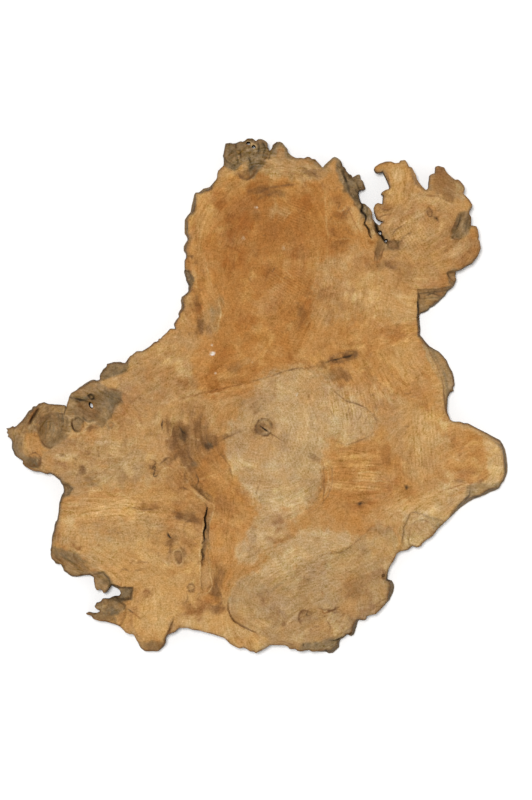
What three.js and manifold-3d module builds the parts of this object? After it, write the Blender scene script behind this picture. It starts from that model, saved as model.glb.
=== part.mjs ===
// Teak wood slice: one slab sawn across the root flare of a teak tree, lying on its sawn back.
// Millimetres, +Z up out of the sawn face, the origin in the middle of the back.
// Shapes were read off a picture of the sawn face. Its pixels count right and down, and plan() turns them
// into millimetres from the size of the slice.

import * as THREE from 'three';
import Module from 'manifold-3d';

// Driving dimensions
const SLICE_WIDTH = 800; // across the tips of the two side lobes
const THICKNESS = 48; // from the sawn back to the sawn face

// Lowest and highest pixel of the slice across and down the picture
const PICTURE_X = [6, 507.5];
const PICTURE_Y = [138.5, 653.5];

// Rim
const FACE_INSET = 1.4; // the sawn face's edge stays this far inside the widest line of the rim
const BACK_INSET = 2.2; // the same for the back's edge
const RIM_REACH = 11; // rim within this distance takes part in a spot's outward direction
const WALL_ROUGHNESS = 2.4; // deepest hollow in the side wall
const WALL_WIDEST = 0.2; // height of the widest line, as a share of the thickness
const WALL_HEIGHTS = [0, 0.07, 0.2, 0.42, 0.66, 0.87, 1]; // rings of the wall, as shares of the thickness
const LEAN_BEND = 1.5; // above 1, the wall leans most near the face

// Cuts
const CLEAR = 4; // a cut starts this far above the face
const FACE_STEP = 0.5; // a sloping flank starts this far below the face
const FLANK_ROUGHNESS = 1.5; // depth of the lumps' hollows on a flank
const FLANK_LENGTH = 9; // distance between a flank's sections
const FLANK_SHARES = [1, 0.75, 0.5, 0.25, 0]; // a flank's points, from its outer line to its inner line
const HOLLOW_BEND = 0.6; // share of a hollow's depth where its wall turns into its floor
const HOLLOW_ROUGHNESS = 0.12; // unevenness of that bend, as a share of the depth
const CRACK_LENGTH = 11; // distance between a crack's sections
const CRACK_END = 0.08; // a crack's opening at its ends, as a share of its middle's
const HOLE_SIZES = [0.8, 1, 1.2]; // a hole's size at the back, half way and at the face
const PIT_FLOOR = 0.45; // a pit's floor, as a share of its rim
const ROUND_SIDES = 9; // sides of a small hole or pit
const WAVES = 14; // plane waves in one field of lumps
const SEED = 11;

const MM_PER_PIXEL = SLICE_WIDTH / (PICTURE_X[1] - PICTURE_X[0]);

// The rim, clockwise as seen from above the face, in stretches from the notch left of the upper lobe
const UPPER_LOBE_LEFT = [
  [175, 328.5], [173.5, 324], [176, 320], [179, 316.5], [178, 314], [179.5, 311], [181, 309],
  [181.5, 305], [180.5, 301], [181.5, 296.5], [185, 294.5], [188.5, 291], [188.5, 286], [186, 281],
  [184.5, 276], [183.5, 272.5], [184.5, 269], [184.5, 260.5], [186, 258], [186, 254], [183.5, 251],
  [183.5, 246.5], [186, 242], [187.5, 240], [186.5, 236.5], [184.5, 233.5], [184.5, 220], [187, 216],
  [190.5, 212], [191.5, 206], [193, 200], [194, 195], [195.5, 192.5], [199, 192.5], [203.5, 188.5],
  [206.5, 188], [209.5, 187], [213, 183], [216, 179.5], [217, 177], [217, 174], [218, 170.5],
  [222.5, 166.5], [223.5, 163.5], [223.5, 160], [223, 154], [224.5, 147], [225.5, 143.5],
];
const UPPER_LOBE_TOP = [
  [230, 143], [235, 143.5], [240.5, 141], [242.5, 142], [247.5, 138.5], [252, 138.5], [256, 141],
  [257.5, 139], [261.5, 139], [264.5, 141], [268, 143.5], [267.5, 147], [270, 151], [272, 148.5],
  [272.5, 145], [276, 142.5], [279.5, 141.5], [283, 143], [285.5, 146], [287.5, 149], [288, 152.5],
  [291, 155.5], [296, 157.5], [304, 158], [307, 156.5], [310, 157], [312, 159], [315, 159.5],
  [318, 162.5], [322.5, 168], [325, 164.5], [328, 161.5], [332, 158], [334, 157], [338, 158],
  [341, 160.5], [342.5, 166], [345, 167.5], [346.5, 170.5], [349, 174], [351.5, 174.5], [352.5, 177.5],
  [355, 175.5], [357.5, 174], [360.5, 174.5], [360.5, 179.5], [363, 181], [364, 185], [366, 188.5],
  [364.5, 190], [361, 190.5], [359, 192], [359, 197.5], [361.5, 203],
];
const LOBE_SLOT = [
  [365, 204], [367, 206], [370, 209.5], [371.8, 213], [372.6, 219.5], [375.5, 223], [378.5, 226],
  [380.5, 224], [383, 222.5], [380, 221], [378, 220.5], [376, 219], [375.2, 216], [373.8, 212],
  [373.5, 208], [375, 204.5], [377, 203], [382, 204.5], [382.5, 198.5], [383, 196], [380.5, 194.5],
  [381.5, 192.5], [384.5, 190.5], [388, 189.5], [389, 188], [388, 184.5], [384.5, 177], [382, 172],
];
const SPUR_TOP = [
  [379, 173.5], [375.5, 173], [373.5, 170], [374.5, 167], [378, 164.5], [381.5, 163], [386, 161.5],
  [390.5, 161.5], [395, 163], [399, 162.5], [400, 160.5], [405, 160], [407.5, 163.5], [409, 167],
  [412, 167.5], [414, 171.5], [416, 175], [417, 179.5], [419, 183], [421.5, 186.5], [425, 190],
];
const UPPER_RIGHT_LOBE = [
  [426.5, 190], [428, 188], [428, 184], [429, 175.5], [431.5, 174], [434.5, 173.5], [435, 167],
  [437.5, 166], [444, 167.5], [446, 171.5], [448, 174], [451.5, 177], [455, 179.5], [458.5, 179.5],
  [461, 182], [464, 186], [465, 188], [463.5, 194], [466.5, 197], [469.5, 200], [472.5, 205.5],
  [471, 208.5], [469.5, 211], [469, 214], [471, 216.5], [471, 225.5], [476.5, 226.5], [478, 230.5],
  [479, 235], [478.5, 239.5], [480, 241.5], [481, 248.5], [479.5, 252], [477.5, 257], [475, 260],
  [472.5, 263.5], [467.5, 266], [460.5, 270], [455, 272], [456, 273.5], [455.5, 275.5], [457, 279.5],
  [455.5, 283], [453.5, 286.5], [447, 292.5], [444.5, 296.5], [434, 306], [430.5, 307.5], [427.5, 311],
  [423, 313], [420.5, 313.5], [419.5, 316.5],
];
const RIGHT_FLANK = [
  [419.5, 320], [420.5, 330], [420, 335], [423, 338], [426.5, 342.5], [430, 346], [434.5, 349],
  [439, 351.5], [442.5, 355], [446.5, 360], [449.5, 366.5], [452.5, 372], [454, 377.5], [455, 385],
  [453, 388], [454, 391], [450.5, 392.5], [448, 397], [447.5, 404], [447, 410.5], [448.5, 415],
  [450, 419.5],
];
const RIGHT_TIP = [
  [453.5, 421.5], [460, 421.5], [464, 423], [468, 423], [475, 427], [480, 429.5], [488, 433.5],
  [496, 438], [500, 440], [503, 444.5], [505, 449], [506.5, 456.5], [507.5, 464.5], [507.5, 471],
  [506, 476.5], [504, 481], [501, 484.5], [499.5, 488.5], [495, 490.5], [490.5, 492], [486.5, 494],
  [480, 497], [474.5, 498.7], [469, 501.5], [460.5, 507.5], [450, 517.5], [439, 528], [436, 531.5],
  [432.5, 536],
];
const LOWER_RIGHT = [
  [430, 538], [425.5, 540.5], [422.5, 543.5], [420.5, 546.5], [417, 547.5], [412, 546], [410, 548],
  [407.5, 550], [400, 551.5], [397, 553.5], [395.5, 557], [394, 560.5], [390.5, 565.5], [388.5, 570],
  [387.5, 579], [392, 580], [393.5, 583.5], [394, 587], [393.5, 591], [391.5, 596], [389, 600.5],
  [384.5, 605.5], [379.5, 610.5], [376, 614], [370.5, 615], [366.5, 616.5], [366.5, 619.5], [363.5, 620.5],
  [359.5, 620], [358, 621], [356.5, 626], [355.5, 632], [354, 635], [351, 636.5], [347.5, 634.5],
  [344.5, 637], [340.5, 639.5], [339, 643], [339, 647.5], [336, 650], [332.5, 653], [329, 653.5],
];
const LOWER_EDGE = [
  [326, 652], [320, 651.5], [311.5, 652], [309, 650], [300.5, 651.5], [297.5, 651], [295, 649],
  [289.5, 649], [287.5, 646.5], [285.5, 645.5], [270.5, 645], [263.5, 649.5], [255.5, 653.3], [254, 651.5],
  [250, 651.5], [246.5, 649], [243, 647.5], [238.5, 648.5], [235.5, 647], [230, 644], [226.5, 640.5],
  [223.5, 637.5], [220, 637], [215.5, 635], [204, 632], [198.5, 630.5], [193, 630], [187, 628],
  [179.5, 628], [177, 630], [175, 632], [168, 634.5], [166, 638], [166, 642], [164.5, 645.5],
  [161.5, 649], [158.5, 651.5], [144.5, 651.5], [141.5, 649], [139.5, 646.5], [138, 642.5], [136, 639.5],
  [134.5, 636], [132.5, 634],
];
const LOWER_LEFT_SHARDS = [
  [129, 634], [125.5, 632.5], [123, 629.5], [120, 626.5], [114.5, 624.5], [105, 621.5], [99.5, 621],
  [93.5, 619], [91, 615.5], [87.5, 614.5], [86, 613], [89, 611.8], [93, 612.8], [97, 612.8],
  [100, 611.5], [100, 609.5], [96.5, 608.5], [94, 606], [96.5, 602.5], [100.5, 601], [102.5, 598],
  [109.5, 598], [112.5, 596], [118.5, 595.5], [120, 594], [119.5, 591], [117, 588.5], [114.5, 587],
  [111.5, 585], [110, 587], [108.5, 590], [106.5, 592], [103.5, 593], [102, 590], [99.5, 589],
  [97.5, 590.5], [95.5, 588.5], [94.5, 585.5], [94, 577.5], [92, 576], [89.5, 574.5],
];
const LOWER_LEFT_LOBE = [
  [86, 575.5], [81.5, 576], [76.5, 577], [72, 576.5], [68.5, 574.5], [64, 571], [62, 566.5],
  [60.5, 564], [57.5, 564.5], [55.5, 564], [54, 561.5], [51, 558.5], [50.5, 550], [51.5, 543.5],
  [52, 536], [54, 529.5], [54.5, 524.5], [55.5, 521.5], [57, 520], [58.5, 512], [59, 503],
  [60.5, 499.5], [61.5, 495], [63.5, 492.5], [64, 490], [63, 486], [59.5, 480.5], [54, 475.5],
  [50, 473.5], [47, 474.5], [40.5, 472],
];
const LEFT_LOBE = [
  [34.5, 471.5], [29.5, 469.5], [25, 466.5], [22.5, 464.5], [22.5, 461.5], [14.5, 455.5], [13.5, 452],
  [11.5, 447.5], [12, 442.5], [10.5, 439], [7.5, 436.5], [8.5, 434.5], [6.5, 432.5], [8, 430.5],
  [6, 428], [9.5, 427.8], [12.5, 425.5], [14.5, 426.5], [20, 422.5], [24, 418], [27, 413.5],
  [28.5, 411], [31.5, 409.5], [32.5, 406.5], [36, 406], [39, 403.5], [44, 402.2], [48.5, 404],
  [57, 404], [65.3, 405], [66.3, 407], [67, 403.5], [68.5, 400.5], [69, 397], [70.5, 393],
  [76, 390.5], [80, 386.5], [85, 383.5], [90, 380.5], [93.5, 379.5], [97, 380.5], [100, 379.5],
];
const LEFT_SHOULDER = [
  [99.5, 376], [101, 372.5], [103.5, 369], [106.5, 365.5], [106.5, 363.5], [110.5, 363], [114, 361.8],
  [120.5, 361.5], [125, 362.8], [127, 359.5], [130, 356], [132, 355], [136.5, 351], [142, 351],
  [150, 346], [154, 342], [158, 341], [158.5, 338.5], [160.5, 338.5], [162.5, 336], [167, 332],
  [170, 328.5],
];
const RIM = [
  ...UPPER_LOBE_LEFT, ...UPPER_LOBE_TOP, ...LOBE_SLOT, ...SPUR_TOP, ...UPPER_RIGHT_LOBE, ...RIGHT_FLANK,
  ...RIGHT_TIP, ...LOWER_RIGHT, ...LOWER_EDGE, ...LOWER_LEFT_SHARDS, ...LOWER_LEFT_LOBE, ...LEFT_LOBE,
  ...LEFT_SHOULDER,
];

// Where the side wall leans out from under the face: the place, how far along the rim, how far out, in pixels
const LEANS = [
  [205, 189, 6, 3.5], [194, 205, 10, 3.5], [186, 227, 9, 3.5], [184, 247, 6, 2.5], [181, 303, 8, 2.5],
  [175, 324, 5, 1.5], [506, 462, 20, 3], [489, 490, 9, 3], [466, 503, 13, 3], [393, 589, 9, 4.5],
  [355, 628, 8, 4], [334, 650, 8, 4.5], [60, 480, 8, 1.8], [59, 505, 13, 1.5], [55, 526, 10, 1.8],
  [12, 448, 9, 1.5], [90, 381, 9, 1.5], [419, 325, 14, 2], [30, 411, 7, 2],
];

// Broken and eroded flanks, which slope down from an inner line on the face to an outer line past the rim.
// depth is in millimetres at the outer line, and crown above 1 makes the slope start gently.
const FLANKS = {
  rootBulge: {
    inner: [
      [417, 338], [421, 350], [427, 358.5], [435, 373.5], [440, 382.5], [442, 397], [445, 413], [449, 420],
    ],
    outer: [
      [419, 328], [432, 343], [446, 351], [455, 366], [459, 382], [456, 397], [453, 408], [456, 420],
    ],
    depth: 34, crown: 1.7,
  },
  brokenWedge: {
    inner: [[456, 277], [450, 285.5], [440, 288.5], [428, 289.5], [417, 289.5]],
    outer: [[462, 279], [455, 292], [445, 302], [432, 313], [417.5, 321]],
    depth: 24, crown: 0.6,
  },
  darkShoulder: {
    inner: [[191, 271], [194, 278], [194.5, 284], [193, 289.5], [187, 295]],
    outer: [[180, 270], [180, 278], [182, 287], [184, 291], [181, 297]],
    depth: 26, crown: 0.7,
  },
  weatheredCrown: {
    inner: [[223, 168], [236, 166], [250, 165], [262, 163], [271, 151]],
    outer: [[218, 152], [224, 137], [247, 132], [266, 134], [276, 144]],
    depth: 10, crown: 0.8,
  },
  darkRidge: {
    inner: [[339, 163], [343, 176], [348, 187], [353, 196], [359, 205]],
    outer: [[347, 162], [357, 169], [368, 177], [371, 189], [366, 203]],
    depth: 24, crown: 0.9,
  },
  leftTip: {
    inner: [[39, 407], [31, 421], [30, 435], [21, 443], [14, 451]],
    outer: [[28, 402], [12, 416], [0, 424], [0, 439], [5, 451]],
    depth: 14, crown: 0.9,
  },
  leftLump: {
    inner: [[129, 364], [127, 373], [119, 376], [110, 377.5], [103, 381]],
    outer: [[126, 356], [117, 357], [104, 359], [97, 367], [94, 378]],
    depth: 16, crown: 0.9,
  },
  lowerLeftSlope: {
    inner: [[53, 545], [63, 549], [72, 552], [80, 556], [84, 562], [88, 569], [95, 575]],
    outer: [[46, 545], [45, 557], [51, 567], [60, 573], [70, 580], [81, 580], [93, 580]],
    depth: 22, crown: 1.2,
  },
  bottomTip: {
    inner: [[136, 641.5], [150, 640], [168, 640.5]],
    outer: [[134, 656], [150, 657], [168, 656]],
    depth: 17, crown: 0.8,
  },
};

// Hollows with a floor: the rim in pixels, the depth in millimetres and the floor's size as a share of the rim
const HOLLOWS = {
  leftLobeBay: {
    rim: [
      [89.5, 392.5], [107, 390], [120, 395], [122.5, 401.5], [115, 406.5], [112, 416.5], [102, 424.5],
      [94.5, 419.5], [86.5, 420.5], [81.5, 411.5], [76.5, 401.5], [86, 399],
    ],
    depth: 9, floor: 0.6,
  },
  leftLobePlate: {
    rim: [[72, 419], [78.5, 417], [84.5, 420.5], [85, 427], [80.5, 432], [75, 430.5], [71, 425.5]],
    depth: 6, floor: 0.75,
  },
  leftLobeHollow: {
    rim: [
      [39.5, 418], [50, 413], [61, 411.5], [69.5, 419], [68.5, 431], [60, 442], [51, 448.5],
      [43.5, 443.5], [39, 431],
    ],
    depth: 12, floor: 0.55,
  },
  greyCorner: { rim: [[58, 484], [69, 483.5], [74, 488], [70, 494.5], [58, 497]], depth: 6, floor: 0.8 },
  flakyFragment: {
    rim: [[92.5, 573], [104, 571], [110, 577], [112, 584], [104, 598], [90, 596], [88, 580]],
    depth: 6, floor: 0.85,
  },
  sunkenNotch: {
    rim: [[110, 583], [120, 586], [134, 587], [132, 599], [121, 600], [112, 596]],
    depth: 28, floor: 0.8,
  },
  shards: {
    rim: [
      [82, 612], [92, 599], [104, 594.5], [119, 599.5], [126, 603], [127, 613], [123, 624], [118, 631],
      [100, 627], [86, 620],
    ],
    depth: 10, floor: 0.85,
  },
  crownHollow: {
    rim: [[235, 171], [245, 169], [257, 171.5], [255, 178], [245, 180], [236, 177]],
    depth: 5, floor: 0.6,
  },
  greyPocket: {
    rim: [[387, 242], [393, 239], [399, 243], [399, 249], [392, 251], [387, 248]],
    depth: 7, floor: 0.6,
  },
  upperRightPocket: {
    rim: [[453, 216], [462, 213], [474, 217], [475, 228], [470, 238], [462, 241], [454, 236], [450, 226]],
    depth: 9, floor: 0.65,
  },
  darkPocket: { rim: [[446, 273], [454, 270], [461, 276], [457, 284], [449, 284]], depth: 20, floor: 0.7 },
  knotFacet: {
    rim: [
      [399, 547], [401.5, 537.5], [403.5, 525], [409.5, 512], [416, 511], [429, 516.5], [442, 519.5],
      [449, 528], [438, 544], [424, 556], [408, 558], [398, 555],
    ],
    depth: 4.5, floor: 0.93,
  },
  crackStrip: {
    rim: [
      [208.5, 507], [214, 508], [210, 521.5], [208.8, 538.5], [208.8, 558], [211, 572], [212, 586],
      [207, 592], [202, 590], [201, 575], [203, 557], [203, 540], [205.5, 520],
    ],
    depth: 3, floor: 0.9,
  },
  erodedPatch: {
    rim: [[300, 629], [312, 618], [326, 614], [340, 620], [346, 631], [338, 641], [322, 645], [306, 640]],
    depth: 2.5, floor: 0.8,
  },
};

// Cracks and slits with a V section: the path in pixels, the widest width in pixels, the depth in millimetres
const CRACKS = {
  longCrack: {
    path: [[209.5, 504], [205.7, 519], [205, 530], [203.5, 540], [201.5, 548], [202.8, 557], [202, 567.5]],
    width: 3.2, depth: 32,
  },
  longCrackStep: { path: [[193, 485.5], [203, 494.5], [211, 502]], width: 2.2, depth: 2.5 },
  pithCheck: { path: [[260, 426], [266, 430.5], [275, 436], [285.5, 442.7]], width: 2.6, depth: 14 },
  lensKnot: {
    path: [[326, 362.2], [335, 359.5], [344.5, 357], [352, 355.5], [360, 353.2]],
    width: 4.5, depth: 4,
  },
  lobeCrevice: { path: [[374, 220], [377, 231], [381, 236], [384, 241], [388, 245]], width: 5.5, depth: 24 },
  lobeSlit: { path: [[361, 220], [365, 230], [368, 234.5], [372, 240]], width: 3.2, depth: 15 },
  lobeCheck: { path: [[360, 201], [364, 209.5], [367.5, 215], [366, 221]], width: 2.8, depth: 15 },
  greyCrevice: { path: [[383, 240], [379.5, 249], [376.5, 260]], width: 6, depth: 10 },
  tipTrench: { path: [[40, 408], [34, 417], [28, 426]], width: 6, depth: 9 },
  bottomWedge: { path: [[162, 645], [167.5, 634], [174.5, 618]], width: 4.5, depth: 34 },
  lowerGap: { path: [[350, 632.5], [342, 637], [333, 643]], width: 4.5, depth: 26 },
  lowerLobeEdge: {
    path: [[227, 598], [229, 610.5], [233.5, 619], [240.5, 624.5], [250, 629], [259, 633.5]],
    width: 2.4, depth: 4,
  },
  lowerLobeCheck: {
    path: [[300, 564], [315, 557], [330, 551], [346, 545.8], [356, 539.5], [364, 533.5]],
    width: 2, depth: 5,
  },
};

// Round holes right through and round pits: the middle, the two half widths in pixels, the turn in degrees
const HOLES = {
  bayHole: { at: [91.2, 405.3], half: [1.6, 3], turn: 25 },
  crownHoleA: { at: [248, 143.6], half: [1.2, 1], turn: 0 },
  crownHoleB: { at: [254.5, 147.2], half: [1.3, 1.1], turn: 0 },
  creviceHoleA: { at: [380, 233], half: [1.6, 1.9], turn: 30 },
  creviceHoleB: { at: [385.7, 241], half: [1.7, 1.4], turn: 30 },
};
const PITS = {
  pith: { at: [262.5, 427.5], half: [5.5, 5], turn: 20, depth: 2.5 },
  leftLobePit: { at: [111.5, 425], half: [4.6, 4.4], turn: 0, depth: 7 },
  upperRightKnotA: { at: [428.5, 213], half: [2.6, 2.2], turn: 0, depth: 4 },
  upperRightKnotB: { at: [436, 219], half: [2.2, 2], turn: 0, depth: 4 },
  leftKnot: { at: [178.2, 556.8], half: [1.8, 3.6], turn: 12, depth: 3 },
  lowerPit: { at: [383, 575], half: [1.7, 1.7], turn: 0, depth: 6 },
};

const wasm = await Module();
wasm.setup();

// Seeded random numbers from 0 to 1
function randomNumbers(seed) {
  let state = seed;
  return () => {
    state = (state + 0x6d2b79f5) | 0;
    let mixed = Math.imul(state ^ (state >>> 15), 1 | state);
    mixed = (mixed + Math.imul(mixed ^ (mixed >>> 7), 61 | mixed)) ^ mixed;
    return ((mixed ^ (mixed >>> 14)) >>> 0) / 4294967296;
  };
}

// Smooth lumps through space: the mean of plane waves with lengths from shortest to longest, from -1 to 1
function lumps(seed, shortest, longest) {
  const random = randomNumbers(seed);
  const waves = Array.from({ length: WAVES }, () => {
    const steepness = Math.acos(2 * random() - 1);
    const direction = new THREE.Vector3().setFromSphericalCoords(1, steepness, 2 * Math.PI * random());
    const length = shortest + (longest - shortest) * random();
    return { step: direction.multiplyScalar((2 * Math.PI) / length), phase: 2 * Math.PI * random() };
  });
  return (x, y, z) => {
    const point = new THREE.Vector3(x, y, z);
    const sum = waves.reduce((total, wave) => total + Math.sin(wave.step.dot(point) + wave.phase), 0);
    return THREE.MathUtils.clamp((2 * sum) / waves.length, -1, 1);
  };
}

// A pixel of the picture as a point of the plan, in millimetres from the middle
function plan([px, py]) {
  return new THREE.Vector2(
    (px - (PICTURE_X[0] + PICTURE_X[1]) / 2) * MM_PER_PIXEL,
    ((PICTURE_Y[0] + PICTURE_Y[1]) / 2 - py) * MM_PER_PIXEL,
  );
}

// A closed solid from rings of equally many points: walls from ring to ring and a flat cap on both ends
function loft(rings) {
  const count = rings[0].length;
  const points = rings.flat();
  const triangles = [];
  for (let ring = 0; ring + 1 < rings.length; ring += 1) {
    for (let i = 0; i < count; i += 1) {
      const a = ring * count + i;
      const b = ring * count + ((i + 1) % count);
      triangles.push([a, b, b + count], [a, b + count, a + count]);
    }
  }
  triangles.push(...cap(rings[0], 0, false));
  triangles.push(...cap(rings[rings.length - 1], points.length - count, true));
  return closedSolid(points, triangles);
}

// Triangles over a flat ring, turned with the ring's own direction, or against it
function cap(ring, first, along) {
  const normal = new THREE.Vector3();
  ring.forEach((point, i) => {
    const next = ring[(i + 1) % ring.length];
    normal.add(new THREE.Vector3().crossVectors(point, next));
  });
  const flat = new THREE.Quaternion().setFromUnitVectors(normal.normalize(), new THREE.Vector3(0, 0, 1));
  const contour = ring.map((point) => {
    const turned = point.clone().applyQuaternion(flat);
    return new THREE.Vector2(turned.x, turned.y);
  });
  return THREE.ShapeUtils.triangulateShape(contour, []).map((triangle) => {
    const area = THREE.ShapeUtils.area(triangle.map((i) => contour[i]));
    const kept = area > 0 === along;
    const [a, b, c] = triangle.map((i) => i + first);
    return kept ? [a, b, c] : [a, c, b];
  });
}

// Points and triangles as a solid whose faces point out
function closedSolid(points, triangles) {
  const volume = triangles.reduce((sum, [a, b, c]) => (
    sum + points[a].dot(new THREE.Vector3().crossVectors(points[b], points[c]))
  ), 0);
  const outward = volume > 0 ? triangles : triangles.map(([a, b, c]) => [a, c, b]);
  const vertProperties = new Float32Array(points.flatMap((point) => point.toArray()));
  return new wasm.Manifold(new wasm.Mesh({
    numProp: 3, vertProperties, triVerts: new Uint32Array(outward.flat()),
  }));
}

// Outward direction at each rim point: the normals of the rim nearby, averaged by nearness. In a narrow slot
// the two sides cancel, so a rim moved along these directions doesn't cross itself.
function outwardDirections(rim) {
  const sides = rim.map((point, i) => {
    const next = rim[(i + 1) % rim.length];
    const along = next.clone().sub(point);
    const normal = new THREE.Vector2(-along.y, along.x);
    return { middle: point.clone().lerp(next, 0.5), length: along.length(), normal };
  });
  return rim.map((point) => {
    const sum = new THREE.Vector2();
    let weight = 0;
    sides.forEach(({ middle, length, normal }) => {
      const near = Math.exp(-middle.distanceToSquared(point) / (2 * RIM_REACH ** 2));
      sum.addScaledVector(normal, near);
      weight += near * length;
    });
    return sum.divideScalar(weight);
  });
}

// How far the face's edge stays inside the widest line of the rim
function faceInset([px, py]) {
  const leans = LEANS.map(([x, y, reach, out]) => {
    const near = Math.exp(-((px - x) ** 2 + (py - y) ** 2) / (2 * reach ** 2));
    return out * near * MM_PER_PIXEL;
  });
  return FACE_INSET + Math.max(...leans);
}

// The whole slab: rings of the rim stacked from the back to the face
function slab() {
  const rim = RIM.map(plan);
  const outward = outwardDirections(rim);
  const rough = lumps(SEED, 12, 45);
  const rings = WALL_HEIGHTS.map((share) => {
    const z = share * THICKNESS;
    const up = Math.max(0, (share - WALL_WIDEST) / (1 - WALL_WIDEST));
    const down = Math.max(0, 1 - share / WALL_WIDEST);
    const depth = WALL_ROUGHNESS * Math.sin(Math.PI * up);
    return rim.map((point, i) => {
      const hollow = depth * (0.5 + 0.5 * rough(point.x, point.y, z));
      const inset = faceInset(RIM[i]) * up ** LEAN_BEND + BACK_INSET * down + hollow;
      return new THREE.Vector3(point.x - outward[i].x * inset, point.y - outward[i].y * inset, z);
    });
  });
  return loft(rings);
}

// Two lines cut into equally many steps
function matchedStations(inner, outer, step) {
  const innerCurve = new THREE.SplineCurve(inner.map(plan));
  const outerCurve = new THREE.SplineCurve(outer.map(plan));
  const count = Math.max(3, Math.round(outerCurve.getLength() / step));
  return [innerCurve.getSpacedPoints(count), outerCurve.getSpacedPoints(count)];
}

// What is missing above a flank: a strip with a flat top and a lumpy sloping floor
function flankCut({ inner, outer, depth, crown }, index) {
  const rough = lumps(SEED + 100 + index, 9, 30);
  const [innerStations, outerStations] = matchedStations(inner, outer, FLANK_LENGTH);
  return loft(innerStations.map((start, i) => {
    const end = outerStations[i];
    const floor = FLANK_SHARES.map((share) => {
      const spot = start.clone().lerp(end, share);
      const lump = share * FLANK_ROUGHNESS * Math.max(0, rough(spot.x, spot.y, 0));
      const z = THICKNESS - FACE_STEP - (depth - FACE_STEP) * share ** crown - lump;
      return new THREE.Vector3(spot.x, spot.y, z);
    });
    const top = THICKNESS + CLEAR;
    return [new THREE.Vector3(start.x, start.y, top), new THREE.Vector3(end.x, end.y, top), ...floor];
  }));
}

// What is missing in a hollow: its rim carried up past the face, and a smaller, uneven floor
function hollowCut({ rim, depth, floor }, index) {
  const rough = lumps(SEED + 200 + index, 12, 40);
  const edge = rim.map(plan);
  const middle = edge.reduce((sum, point) => sum.add(point), new THREE.Vector2()).divideScalar(edge.length);
  const ring = (share, z, unevenness) => edge.map((point) => {
    const spot = middle.clone().lerp(point, share);
    return new THREE.Vector3(spot.x, spot.y, z + unevenness * rough(spot.x, spot.y, z));
  });
  return loft([
    ring(floor, THICKNESS - depth, 0),
    ring((1 + floor) / 2, THICKNESS - HOLLOW_BEND * depth, HOLLOW_ROUGHNESS * depth),
    ring(1, THICKNESS, 0),
    ring(1, THICKNESS + CLEAR, 0),
  ]);
}

// What is missing in a crack: a V carried along its path, widest in the middle and closed at both ends
function crackCut({ path, width, depth }) {
  const curve = new THREE.SplineCurve(path.map(plan));
  const count = Math.max(4, Math.round(curve.getLength() / CRACK_LENGTH));
  return loft(curve.getSpacedPoints(count).map((point, i) => {
    const along = curve.getTangentAt(i / count);
    const open = Math.max(CRACK_END, Math.sqrt(Math.sin((Math.PI * i) / count)));
    const half = 0.5 * width * MM_PER_PIXEL * open * (1 + CLEAR / depth);
    const side = new THREE.Vector2(-along.y, along.x).multiplyScalar(half);
    return [
      new THREE.Vector3(point.x + side.x, point.y + side.y, THICKNESS + CLEAR),
      new THREE.Vector3(point.x - side.x, point.y - side.y, THICKNESS + CLEAR),
      new THREE.Vector3(point.x, point.y, THICKNESS - depth * open),
    ];
  }));
}

// A turned oval ring round a pixel of the picture
function oval({ at, half, turn }, grow, z) {
  const middle = plan(at);
  return Array.from({ length: ROUND_SIDES }, (_, i) => {
    const angle = (2 * Math.PI * i) / ROUND_SIDES;
    const spot = new THREE.Vector2(Math.cos(angle) * half[0], Math.sin(angle) * half[1]);
    spot.multiplyScalar(grow * MM_PER_PIXEL).rotateAround(new THREE.Vector2(), THREE.MathUtils.degToRad(turn));
    return new THREE.Vector3(middle.x + spot.x, middle.y + spot.y, z);
  });
}

// A hole that narrows a little towards the back
function holeCut(hole) {
  const heights = [-CLEAR, THICKNESS / 2, THICKNESS + CLEAR];
  return loft(heights.map((z, i) => oval(hole, HOLE_SIZES[i], z)));
}

// A pit with a small floor
function pitCut(pit) {
  const floor = oval(pit, PIT_FLOOR, THICKNESS - pit.depth);
  return loft([floor, oval(pit, 1, THICKNESS), oval(pit, 1, THICKNESS + CLEAR)]);
}

// The largest piece that is left, without crumbs
function largest(solid) {
  return solid.decompose().reduce((kept, piece) => (piece.volume() > kept.volume() ? piece : kept));
}

function meshOf(solid, name, material) {
  const { vertProperties, triVerts } = solid.getMesh();
  const geometry = new THREE.BufferGeometry();
  geometry.setAttribute('position', new THREE.BufferAttribute(new Float32Array(vertProperties), 3));
  geometry.setIndex(new THREE.BufferAttribute(new Uint32Array(triVerts), 1));
  geometry.computeVertexNormals();
  const mesh = new THREE.Mesh(geometry, material);
  mesh.name = name;
  return mesh;
}

const cuts = [
  ...Object.values(FLANKS).map(flankCut),
  ...Object.values(HOLLOWS).map(hollowCut),
  ...Object.values(CRACKS).map(crackCut),
  ...Object.values(HOLES).map(holeCut),
  ...Object.values(PITS).map(pitCut),
];
const wood = cuts.reduce((solid, cut) => solid.subtract(cut), slab());

const teak = new THREE.MeshStandardMaterial({ color: 0xb8894f, roughness: 0.72, metalness: 0 });
const slice = new THREE.Group();
slice.add(meshOf(largest(wood), 'teak_slice', teak));

export default slice;
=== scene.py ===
"""Teak wood slice: the slab's fine surface and finish, a pale floor, soft light and a camera straight above.

The sawn face, the side wall and the back are one closed surface. The rim is read from the model of the slab,
and every mark on the face is placed by a pixel of a picture of it, which plan() turns into metres.
"""

import bpy
import numpy as np
from bpy.props import FloatProperty, FloatVectorProperty, PointerProperty
from bpy.types import Operator, Panel, PropertyGroup
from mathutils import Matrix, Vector
from mathutils.geometry import delaunay_2d_cdt


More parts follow.
